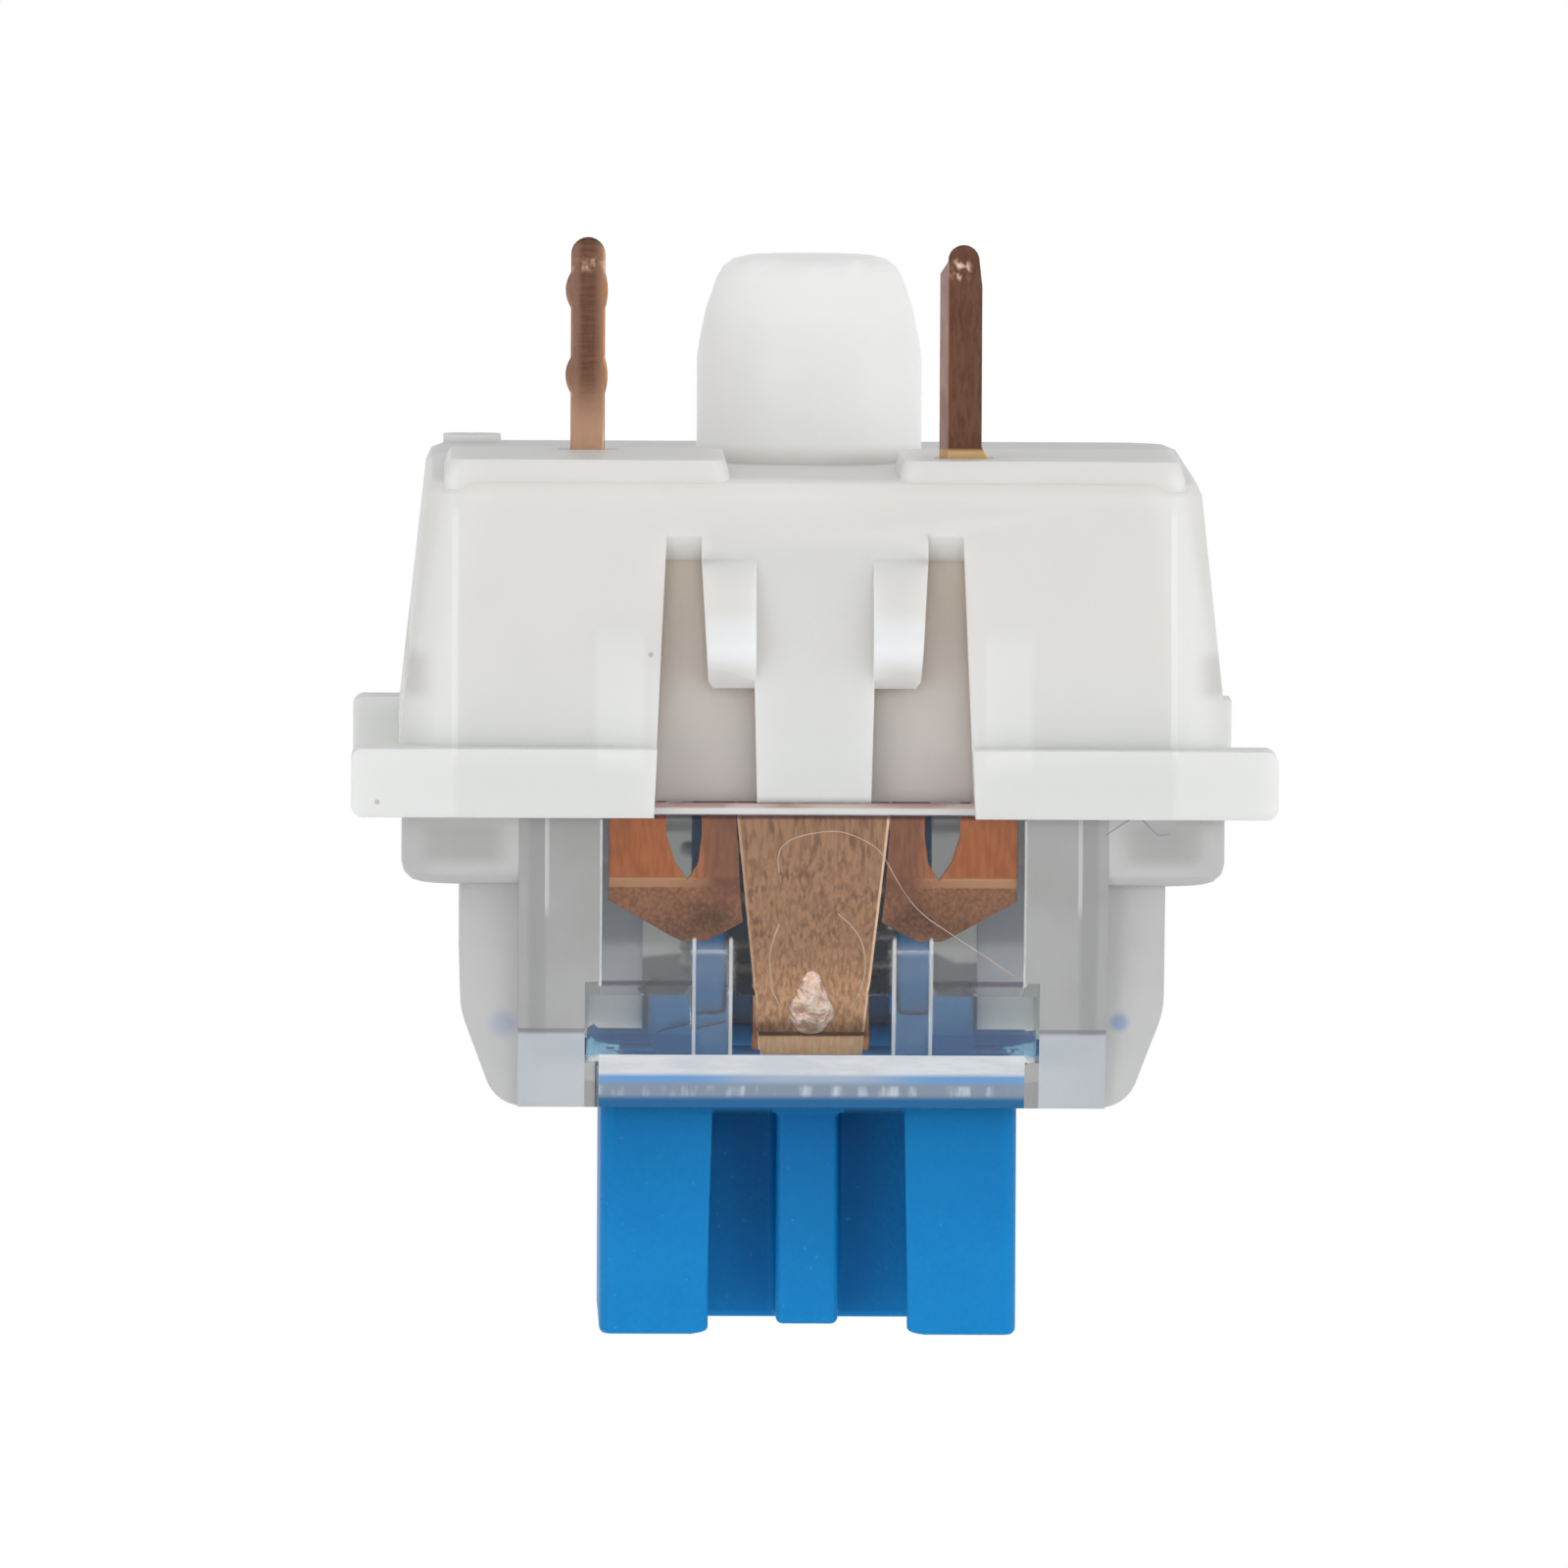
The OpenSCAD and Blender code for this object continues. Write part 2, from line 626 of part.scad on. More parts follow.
module arm_outline() {
    half = arm_span / 2;
    slit_x = tongue_w / 2 + slit;
    difference() {
        for (side = [0, 1]) mirror([side, 0]) polygon([
            [-bite, floor_z + 2 * sheet_t], [half, floor_z + 2 * sheet_t], [half, bend_z + 0.36],
            [arm_x + 2 * apex_half, arm_top - 0.1], [arm_x + apex_half, arm_top],
            [arm_x - apex_half, arm_top], [arm_x - 2 * apex_half, arm_top - 0.1],
            [slit_x, arm_top - 0.35], [-bite, arm_top - 0.35]]);
        for (side = [0, 1]) mirror([side, 0]) {
            // Drop-shaped hole, wide towards the floor and closed at the bend
            translate([arm_x - 0.12, bend_z - hole_h]) polygon([
                [0, 0], [hole_w, 0], [hole_w, hole_h * 0.5], [hole_w * 0.75, hole_h * 0.8],
                [hole_w * 0.4, hole_h], [hole_w * 0.1, hole_h * 0.8], [0, hole_h * 0.5]]);
            translate([-bite, bend_z - 2 * apex_half - hole_h]) square([slit_x + bite, cover_h]);
        }
    }
}

// The tongue leans in from its root so that the points stand a set gap apart, and its tip turns out
root_z = bend_z - 0.4;
lean = (sheet_in - blade_out - contact_gap - 2 * point_h) / (point_z - root_z);
function tongue_out(z) = sheet_out - (z - root_z) * lean;

module moving_contact() {
    color("peru") {
        // Arms: flat up to the bend line, then leaning in to meet the stem
        intersection() {
            front_slab(panel_out, 3) arm_outline();
            side_slab(-arm_span, arm_span) polygon([
                [sheet_out, floor_z], [sheet_out, bend_z - 0.1], [sheet_out - 0.04, bend_z],
                [sheet_out - 0.14, bend_z + 0.11], [arm_touch + sheet_t, arm_top], [arm_touch, arm_top],
                [sheet_in - 0.12, bend_z + 0.02], [sheet_in, bend_z - 0.12], [sheet_in, floor_z]]);
        }
        intersection() {
            front_slab(panel_out, 3) polygon([
                [-tongue_w / 2, floor_z + 2 * sheet_t], [tongue_w / 2, floor_z + 2 * sheet_t],
                [tongue_w / 2, collar_top],
                [tongue_tip_w / 2, tongue_top], [-tongue_tip_w / 2, tongue_top],
                [-tongue_w / 2, collar_top]]);
            side_slab(-arm_span, arm_span) polygon([
                [sheet_out, floor_z], [sheet_out, root_z], [tongue_out(tip_z), tip_z],
                [tongue_out(tip_z) + 0.05, tongue_top], [tongue_out(tip_z) + 0.05 - sheet_t, tongue_top],
                [tongue_out(tip_z) - sheet_t, tip_z], [sheet_in, root_z], [sheet_in, floor_z]]);
        }
        // Foot that carries the pin
        box(moving_pin[0] - pin_w / 2, moving_pin[0] + pin_w / 2, sheet_out, -moving_pin[1],
            floor_z, floor_z + sheet_t);
        box(moving_pin[0] - pin_w / 2, moving_pin[0] + pin_w / 2, sheet_out, sheet_in,
            floor_z, floor_z + 4 * sheet_t);
        folded_pin(moving_pin, floor_z + sheet_t);
    }
}

module fixed_contact() {
    half = tongue_tip_w / 2 + 0.14;
    color("peru") {
        // Blade behind the tongue
        side_slab(-half, half) polygon([
            [blade_out, floor_z], [blade_out, tongue_top - 0.35], [blade_out - 0.2, tongue_top],
            [blade_in - 0.2, tongue_top], [blade_in, tongue_top - 0.4], [blade_in, floor_z]]);
        // Foot along the floor, from the blade to the pin
        translate([0, 0, floor_z]) linear_extrude(sheet_t) polygon([
            [-half, -blade_out], [half, -blade_out], [fixed_pin[0] + pin_w / 2, fixed_pin[1] - pin_w],
            [fixed_pin[0] + pin_w / 2, fixed_pin[1] + pin_t / 2],
            [fixed_pin[0] - pin_w / 2, fixed_pin[1] + pin_t / 2],
            [fixed_pin[0] - pin_w / 2, fixed_pin[1] - pin_t],
            [half, pin_w - blade_in], [-half, pin_w - blade_in]]);
        wavy_pin(fixed_pin, floor_z + sheet_t);
    }
}

module moving_contact_point() {
    color("gold") translate([0, sheet_t - tongue_out(point_z), point_z]) rotate([-90 - atan(lean), 0, 0])
        cylinder(h = point_h, r = point_r);
}

module fixed_contact_point() {
    color("gold") translate([0, -blade_out, point_z]) rotate([90, 0, 0]) cylinder(h = point_h, r = point_r);
}

bottom_housing();
top_housing();
stem();
return_spring();
moving_contact();
fixed_contact();
moving_contact_point();
fixed_contact_point();
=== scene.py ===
"""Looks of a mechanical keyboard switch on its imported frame, seen head down from its contacts."""

import math

import bpy
from mathutils import Matrix, Vector


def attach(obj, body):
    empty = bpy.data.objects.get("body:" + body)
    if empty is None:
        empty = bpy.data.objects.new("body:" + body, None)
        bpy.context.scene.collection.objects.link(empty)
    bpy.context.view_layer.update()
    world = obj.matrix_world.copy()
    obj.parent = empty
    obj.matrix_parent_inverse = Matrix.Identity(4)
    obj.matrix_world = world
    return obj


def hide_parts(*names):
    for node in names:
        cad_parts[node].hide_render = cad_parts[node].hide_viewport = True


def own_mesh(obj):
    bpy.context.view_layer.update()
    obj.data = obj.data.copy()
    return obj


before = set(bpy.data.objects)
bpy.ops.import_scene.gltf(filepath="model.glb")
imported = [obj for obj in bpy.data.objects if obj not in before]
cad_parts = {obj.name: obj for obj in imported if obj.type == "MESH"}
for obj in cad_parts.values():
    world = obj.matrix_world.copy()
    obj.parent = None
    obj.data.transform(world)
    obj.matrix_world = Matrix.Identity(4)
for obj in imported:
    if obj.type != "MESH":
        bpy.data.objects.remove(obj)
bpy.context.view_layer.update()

MM = 0.001

# Heights and depths that the part's drawing gives
PLATE_PLANE = 5 * MM
FLOOR = 1.6 * MM
COLLAR_TOP = 6.15 * MM
RIM_TOP = 7.35 * MM
COVER_TOP = 11.2 * MM
PANEL_OUT = 6.95 * MM
PANEL_LEAN = 1.45 * MM
SHEET_OUT = 6.15 * MM
BEND = 7.26 * MM
TONGUE_ROOT = 6.86 * MM
TONGUE_LEAN = 0.375
TONGUE_TAPER = 0.107
BLOCK_END = 9.3 * MM
WELL_RADIUS = 3.22 * MM
COIL_RADIUS = 2.05 * MM
WIRE = 0.26 * MM
OPEN_TURNS = 8
WIRE_SIDES, TURN_STEPS = 14, 36

# Sides of the drawing's clip catches and tongue slits, which are moved a little here
CATCH_INSIDE = 0.86 * MM
SLIT_OUTSIDE = 1.42 * MM

# Where the cover's finishes change
PANEL_HALF = 4.97 * MM
WINDOW_HALF = 3.6 * MM
BLOCK_HALF = 3.84 * MM
BLOCK_TOP = 9.02 * MM
LIP_FROM = 10.28 * MM
LIP_TO = 11.1 * MM
PANEL_DEEP = 0.06 * MM

# The weld mark's middle on the tongue, and its size before it is flattened
WELD_HEIGHT = 9.35 * MM
WELD_RADIUS = 0.4 * MM

# Widths of the rounded edges, and the angles that part sharp edges from smooth faces
MOULDED_EDGE = 0.07 * MM
CLEAR_EDGE = 0.05 * MM
STEM_EDGE = 0.03 * MM
STEM_CORNER = 0.12 * MM
LEAF_EDGE = 0.02 * MM
BLADE_EDGE = 0.04 * MM
SILL_EDGE = 0.03 * MM
SAME_POINT = 0.002 * MM
BEVEL_FROM = math.radians(30)
SHARP_FROM = math.radians(25)
SMOOTH_TO = math.radians(40)

# Photograph and lens, in pixels of the square photograph
PHOTO_SIZE = 1600
FOCAL_PX = 23818
SENSOR_MM = 36
CAMERA_DISTANCE = 0.4
CAMERA_PITCH = math.radians(3.72)
CAMERA_YAW = math.radians(0.93)
CAMERA_ROLL = math.radians(-0.28)
CAMERA_OFFSET = (0.402 * MM, 1.066 * MM)
CLIP_START, CLIP_END = 0.05, 10

# Light on the object, and the white that the camera, gloss and glass see
LIGHT_COLOUR, LIGHT_LEVEL = (0.98, 0.985, 1.0), 0.66
WHITE, WHITE_LEVEL = (1, 1, 1), 1


def panel_face(z):
    """Depth of the cover's front panel at a height, as a y."""
    lean = PANEL_LEAN * max(0, z - RIM_TOP) / (COVER_TOP - RIM_TOP)
    return lean - PANEL_OUT


def tongue_face(z):
    """Depth of the sprung tongue's outer face at a height, as a y."""
    return (z - TONGUE_ROOT) * TONGUE_LEAN - SHEET_OUT


def deselect():
    if bpy.context.object and bpy.context.object.mode != "OBJECT":
        bpy.ops.object.mode_set(mode="OBJECT")
    bpy.ops.object.select_all(action="DESELECT")


def make_active(piece):
    deselect()
    piece.select_set(True)
    bpy.context.view_layer.objects.active = piece


def keep_place():
    """Puts the active piece's place, turn and size into its mesh."""
    bpy.ops.object.transform_apply(location=True, rotation=True, scale=True)


# Camera: the switch hangs head down in the photograph, so the picture's up is -Z, its right is -X
def add_camera():
    side, toward, up = Vector((-1, 0, 0)), Vector((0, -1, 0)), Vector((0, 0, -1))
    cy, sy = math.cos(CAMERA_YAW), math.sin(CAMERA_YAW)
    right = cy * side + sy * toward
    level = -sy * side + cy * toward
    cp, sp = math.cos(CAMERA_PITCH), math.sin(CAMERA_PITCH)
    upright = cp * up - sp * level
    back = sp * up + cp * level
    cr, sr = math.cos(CAMERA_ROLL), math.sin(CAMERA_ROLL)
    right, upright = cr * right - sr * upright, sr * right + cr * upright
    at = Vector((0, 0, PLATE_PLANE)) + back * CAMERA_DISTANCE
    at -= right * CAMERA_OFFSET[0] + upright * CAMERA_OFFSET[1]
    bpy.ops.object.camera_add()
    camera = bpy.context.object
    camera.name = "camera"
    turn = Matrix((right, upright, back)).transposed().to_4x4()
    camera.matrix_world = Matrix.Translation(at) @ turn
    camera.data.sensor_width = SENSOR_MM
    camera.data.lens = FOCAL_PX / PHOTO_SIZE * SENSOR_MM
    camera.data.clip_start = CLIP_START
    camera.data.clip_end = CLIP_END
    bpy.context.scene.camera = camera


def add_lamp(name, at, size, power):
    bpy.ops.object.light_add(type="AREA", location=at)
    lamp = bpy.context.object
    lamp.name = name
    lamp.data.shape = "DISK"
    lamp.data.size = size
    lamp.data.energy = power
    aim = Vector((0, 0, PLATE_PLANE)) - Vector(at)
    lamp.rotation_euler = aim.to_track_quat("-Z", "Y").to_euler()


# Small parts that the shading is put together from
def node(tree, kind, **settings):
    made = tree.nodes.new(kind)
    for key, value in settings.items():
        setattr(made, key, value)
    return made


def feed(tree, value, socket):
    """Links a socket to another, or sets its value."""
    if isinstance(value, bpy.types.NodeSocket):
        tree.links.new(value, socket)
    else:
        socket.default_value = value


def sums(tree, operation, *values):
    made = node(tree, "ShaderNodeMath", operation=operation)
    for value, socket in zip(values, made.inputs):
        feed(tree, value, socket)
    return made.outputs[0]


def radius_of(tree, one, other):
    """Distance from the middle of a plane, out of its two coordinates."""
    squares = [sums(tree, "MULTIPLY", value, value) for value in (one, other)]
    return sums(tree, "SQRT", sums(tree, "ADD", *squares))


def rise(tree, value, low, high):
    """Mask that goes smoothly from 0 at one value to 1 at the other."""
    made = node(tree, "ShaderNodeMapRange", interpolation_type="SMOOTHSTEP")
    feed(tree, value, made.inputs["Value"])
    feed(tree, low, made.inputs["From Min"])
    feed(tree, high, made.inputs["From Max"])
    return made.outputs["Result"]


def both(tree, *masks):
    """Mask of what all the masks share."""
    joined = masks[0]
    for mask in masks[1:]:
        joined = sums(tree, "MULTIPLY", joined, mask)
    return joined


def either(tree, *masks):
    """Mask of what any of the masks holds."""
    joined = masks[0]
    for mask in masks[1:]:
        joined = sums(tree, "MAXIMUM", joined, mask)
    return joined


def blend(tree, mask, under, over):
    """Colour that goes from one to the other by a mask."""
    made = node(tree, "ShaderNodeMix", data_type="RGBA")
    feed(tree, mask, made.inputs[0])
    feed(tree, (*under, 1) if isinstance(under, tuple) else under, made.inputs[6])
    feed(tree, (*over, 1) if isinstance(over, tuple) else over, made.inputs[7])
    return made.outputs[2]


def tint(tree, tone, mask, colour, share=1):
    """Lays a share of a colour over a tone, where a mask lets it."""
    if share != 1:
        mask = sums(tree, "MULTIPLY", mask, share)
    return blend(tree, mask, tone, colour)


def noise(tree, at, stretch, scale, detail=3, rough=0.5):
    """Noise with a fineness of its own along x, y and z."""
    mapping = node(tree, "ShaderNodeMapping")
    feed(tree, at, mapping.inputs["Vector"])
    mapping.inputs["Scale"].default_value = stretch
    made = node(tree, "ShaderNodeTexNoise")
    tree.links.new(mapping.outputs[0], made.inputs["Vector"])
    feed(tree, scale, made.inputs["Scale"])
    made.inputs["Detail"].default_value = detail
    made.inputs["Roughness"].default_value = rough
    return made.outputs[0]


# Shading effects. Each one is a group, built once and placed in materials with its own values
def start_group(name, sockets_in, sockets_out):
    group = bpy.data.node_groups.new(name, "ShaderNodeTree")
    for label, kind, value in sockets_in:
        socket = group.interface.new_socket(
            name=label, in_out="INPUT", socket_type="NodeSocket" + kind)
        if value is not None:
            socket.default_value = value
    for label in sockets_out:
        group.interface.new_socket(name=label, in_out="OUTPUT", socket_type="NodeSocketFloat")
    given = node(group, "NodeGroupInput").outputs
    return group, given, node(group, "NodeGroupOutput").inputs


def make_band():
    """Mask of the values between two limits, with soft edges."""
    group, given, out = start_group("band", [
        ("Value", "Float", 0.0), ("Low", "Float", 0.0), ("High", "Float", 1.0),
        ("Soft", "Float", 0.0001)], ["Mask"])
    low_end = sums(group, "SUBTRACT", given["Low"], given["Soft"])
    high_end = sums(group, "ADD", given["High"], given["Soft"])
    inside = both(group, rise(group, given["Value"], low_end, given["Low"]),
                  rise(group, given["Value"], high_end, given["High"]))
    group.links.new(inside, out["Mask"])
    return group


def make_moulded_skin():
    """Slow clouds and the fine grain that a spark-cut mould leaves on plastic."""
    group, given, out = start_group("moulded_skin", [
        ("At", "Vector", None), ("Cloud Scale", "Float", 350.0),
        ("Grain Scale", "Float", 14000.0)], ["Cloud", "Grain", "Roughness"])
    cloud = noise(group, given["At"], (1, 1, 1), given["Cloud Scale"], 4)
    grain = noise(group, given["At"], (1, 1, 1), given["Grain Scale"], 2, 0.6)
    group.links.new(rise(group, cloud, 0.3, 0.7), out["Cloud"])
    group.links.new(grain, out["Grain"])
    highlight_patches = sums(group, "MULTIPLY_ADD", cloud, 0.16, 0.3)
    group.links.new(sums(group, "MULTIPLY_ADD", grain, 0.06, highlight_patches), out["Roughness"])
    return group


def make_rolled_grain():
    """Rolling streaks, mottling and small bright flecks of sheet bronze."""
    group, given, out = start_group("rolled_grain", [
        ("At", "Vector", None), ("Scale", "Float", 1.0)], ["Streak", "Mottle", "Height"])
    fine = noise(group, given["At"], (16000, 16000, 3200), given["Scale"], 3, 0.6)
    broad = noise(group, given["At"], (5200, 5200, 2600), given["Scale"], 3)
    group.links.new(rise(group, fine, 0.38, 0.62), out["Streak"])
    group.links.new(rise(group, broad, 0.36, 0.64), out["Mottle"])
    group.links.new(fine, out["Height"])
    return group


GROUPS = {"band": make_band(), "moulded_skin": make_moulded_skin(),
          "rolled_grain": make_rolled_grain()}


def effect(tree, name, **values):
    made = node(tree, "ShaderNodeGroup", node_tree=GROUPS[name])
    for label, value in values.items():
        feed(tree, value, made.inputs[label.replace("_", " ")])
    return made.outputs


def band(tree, value, low, high, soft=0.05):
    """Band in millimetres of a coordinate that is in metres."""
    return effect(tree, "band", Value=value, Low=low * MM, High=high * MM, Soft=soft * MM)["Mask"]


def spot(tree, x, z, at_x, at_z, radius, soft):
    """Round mask about a place of the front view, in millimetres."""
    dx = sums(tree, "SUBTRACT", x, at_x * MM)
    dz = sums(tree, "SUBTRACT", z, at_z * MM)
    return rise(tree, radius_of(tree, dx, dz), (radius + soft) * MM, radius * MM)


def new_material(name, **plain):
    made = bpy.data.materials.new(name)
    made.use_nodes = True
    tree = made.node_tree
    shader = tree.nodes["Principled BSDF"]
    for label, value in plain.items():
        shader.inputs[label.replace("_", " ")].default_value = value
    return made, tree, shader.inputs, node(tree, "ShaderNodeTexCoord").outputs["Object"]


def split_place(tree, at):
    """A place's x, y and z, and its distance across from the middle plane."""
    split = node(tree, "ShaderNodeSeparateXYZ")
    tree.links.new(at, split.inputs[0])
    x, y, z = split.outputs
    return x, y, z, sums(tree, "ABSOLUTE", x)


def add_bump(tree, sockets, height, strength, depth):
    """Fine relief of a depth in millimetres."""
    bump = node(tree, "ShaderNodeBump")
    bump.inputs["Strength"].default_value = strength
    bump.inputs["Distance"].default_value = depth * MM
    tree.links.new(height, bump.inputs["Height"])
    tree.links.new(bump.outputs[0], sockets["Normal"])


# World: plain light on the object, and a white backdrop for the camera, gloss and glass
def set_world():
    world = bpy.data.worlds.new("studio")
    bpy.context.scene.world = world
    world.use_nodes = True
    tree = world.node_tree
    tree.nodes.clear()
    rays = node(tree, "ShaderNodeLightPath").outputs
    mix = node(tree, "ShaderNodeMixShader")
    feed(tree, either(tree, rays["Is Camera Ray"], rays["Is Glossy Ray"],
                      rays["Is Transmission Ray"]), mix.inputs["Fac"])
    for place, colour, level in ((1, LIGHT_COLOUR, LIGHT_LEVEL), (2, WHITE, WHITE_LEVEL)):
        plain = node(tree, "ShaderNodeBackground")
        plain.inputs["Color"].default_value = (*colour, 1)
        plain.inputs["Strength"].default_value = level
        tree.links.new(plain.outputs[0], mix.inputs[place])
    tree.links.new(mix.outputs[0], node(tree, "ShaderNodeOutputWorld").inputs["Surface"])


def milky_plastic():
    """Milky nylon. Its thin skin before the contact sheet lets the bronze show as a tan tone."""
    made, tree, sockets, at = new_material(
        "milky_plastic", IOR=1.5, Subsurface_Weight=1.0, Subsurface_Radius=(1, 0.97, 0.92),
        Subsurface_Scale=0.6 * MM, Emission_Strength=0.11)
    x, y, z, across = split_place(tree, at)
    lit = (0.84, 0.85, 0.83)
    skin = effect(tree, "moulded_skin", At=at)
    tone = blend(tree, skin["Cloud"], (0.765, 0.755, 0.725), (0.785, 0.775, 0.745))
    tone = tint(tree, tone, rise(tree, z, 3.2 * MM, 5.2 * MM), (0.755, 0.765, 0.74))
    # Painted light: the front face is painted a little lighter where walls and corners stand behind
    # it, and a painted highlight runs where it turns to the sides
    front = rise(tree, y, -6.2 * MM, -6.5 * MM)
    backed_light = both(tree, front, band(tree, across, 2.95, 3.6, 0.15), band(tree, z, 3.4, 5.0, 0.5))
    tone = tint(tree, tone, backed_light, lit, 0.6)
    corner = both(tree, front, rise(tree, across, 5.95 * MM, 6.15 * MM))
    tone = tint(tree, tone, corner, lit, 0.5)
    turn = both(tree, front, band(tree, across, 6.02, 6.1, 0.03), band(tree, z, 1.2, 4.9, 0.3))
    tone = tint(tree, tone, turn, (0.88, 0.89, 0.875), 0.6)
    # Towers beside the stem's legs: a painted highlight along the pale outer edge and painted shade
    # on the face
    in_tower = band(tree, y, -3.6, -2, 0.02)
    edge = both(tree, band(tree, across, 4.44, 4.55, 0.02), band(tree, z, 6.3, 7.8, 0.1), in_tower)
    tone = tint(tree, tone, edge, (0.95, 0.95, 0.94))
    face = both(tree, band(tree, across, 2.7, 3.62, 0.03), band(tree, z, 7.2, 9.2, 0.06), in_tower)
    tone = tint(tree, tone, face, (0.50, 0.53, 0.60), 0.6)
    # Thin skin in the openings about the clips
    thin = both(tree, band(tree, sums(tree, "ABSOLUTE", y), 6.1, 6.5, 0.04),
                band(tree, across, -1, 2.72, 0.04), band(tree, z, 1.9, 6.2, 0.05))
    behind = blend(tree, rise(tree, z, 1.8 * MM, 5.2 * MM), (0.74, 0.60, 0.48), (0.66, 0.60, 0.56))
    tone = tint(tree, tone, thin, behind, 0.92)
    # Painted light: the solid post, which passes more light than the walls, is painted lighter and
    # glows faintly, most at its sides
    post = both(tree, rise(tree, radius_of(tree, x, y), 2.0 * MM, 1.94 * MM),
                rise(tree, z, 0.45 * MM, 0.1 * MM))
    tone = tint(tree, tone, post, (0.94, 0.93, 0.895))
    turned = node(tree, "ShaderNodeLayerWeight").outputs["Facing"]
    painted_glow = both(tree, post, sums(tree, "MULTIPLY_ADD", turned, 0.8, 0.12))
    feed(tree, blend(tree, painted_glow, (0.0, 0.0, 0.0), (1.0, 0.99, 0.95)), sockets["Emission Color"])
    # Painted shade across the body's sides, painted light on the catches' fronts, which are also
    # cooler, and painted shade on the board side past the post
    sides = both(tree, rise(tree, across, 6.3 * MM, 6.8 * MM), band(tree, z, 3.6, 4.0, 0.3))
    tone = tint(tree, tone, sides, (0.60, 0.58, 0.56), 0.7)
    catch_light = both(tree, rise(tree, y, -7.05 * MM, -7.25 * MM), rise(tree, z, 4.5 * MM, 4.3 * MM))
    tone = tint(tree, tone, catch_light, (0.83, 0.84, 0.845))
    far_shade = both(tree, rise(tree, y, 1.5 * MM, 2.5 * MM), rise(tree, z, 0.9 * MM, 0.5 * MM))
    tone = tint(tree, tone, far_shade, (0.70, 0.70, 0.685))
    # Two specks of dirt
    for at_x, at_z in ((7.36, 5.89), (2.76, 3.45)):
        speck = both(tree, spot(tree, x, z, at_x, at_z, 0.02, 0.04), front)
        tone = tint(tree, tone, speck, (0.34, 0.31, 0.29), 0.6)
    feed(tree, tone, sockets["Base Color"])
    feed(tree, skin["Roughness"], sockets["Roughness"])
    add_bump(tree, sockets, skin["Grain"], 0.12, 0.02)
    return made


def clear_plastic():
    """Polished clear moulding. Its inner edges catch the light, and it is hazy by the block."""
    made, tree, sockets, at = new_material(
        "clear_plastic", IOR=1.33, Transmission_Weight=1.0, Roughness=0.07,
        Specular_IOR_Level=0.2, Coat_IOR=4.0, Coat_Roughness=0.35)
    _, y, z, across = split_place(tree, at)
    flow = noise(tree, at, (700, 700, 250), 1.0, 2)
    tone = blend(tree, rise(tree, flow, 0.3, 0.7), (0.95, 0.96, 0.97), (0.97, 0.975, 0.98))
    front = rise(tree, y, -4.9 * MM, -5.2 * MM)
    # Painted shade in dark lines where the rim turns and where the block's top lies
    block_line = both(tree, band(tree, z, 9.0, 9.05, 0.03), band(tree, across, 2.05, 3.55, 0.03))
    dark = both(tree, either(tree, band(tree, z, 6.15, 6.2, 0.03), block_line), front)
    tone = tint(tree, tone, dark, (0.16, 0.12, 0.22), 0.85)
    deep = both(tree, front, band(tree, z, 9.93, 10.27, 0.04), band(tree, across, 2.0, 3.84, 0.2))
    tone = tint(tree, tone, deep, (0.28, 0.66, 0.86))
    feed(tree, tone, sockets["Base Color"])
    # A coat stands for the light that haze, ribs and edges send back
    haze = both(tree, band(tree, z, 8.5, 8.95, 0.3), band(tree, across, 1.36, 3.55, 0.1))
    faint = both(tree, band(tree, z, 9.05, 10.25, 0.03), band(tree, across, 1.36, 3.8, 0.03))
    rib_sides = either(tree, band(tree, across, 1.36, 1.4, 0.02),
                       band(tree, across, 1.98, 2.02, 0.02))
    ribs = both(tree, band(tree, z, 8.3, 10.25, 0.1), rib_sides)
    frame_edge = both(tree, band(tree, z, 6.25, 9.05, 0.05), band(tree, across, 3.57, 3.61, 0.015))
    painted_glow = either(tree, ribs, frame_edge, sums(tree, "MULTIPLY", haze, 0.2),
                  sums(tree, "MULTIPLY", faint, 0.15))
    feed(tree, both(tree, painted_glow, front), sockets["Coat Weight"])
    add_bump(tree, sockets, flow, 0.05, 0.03)
    return made


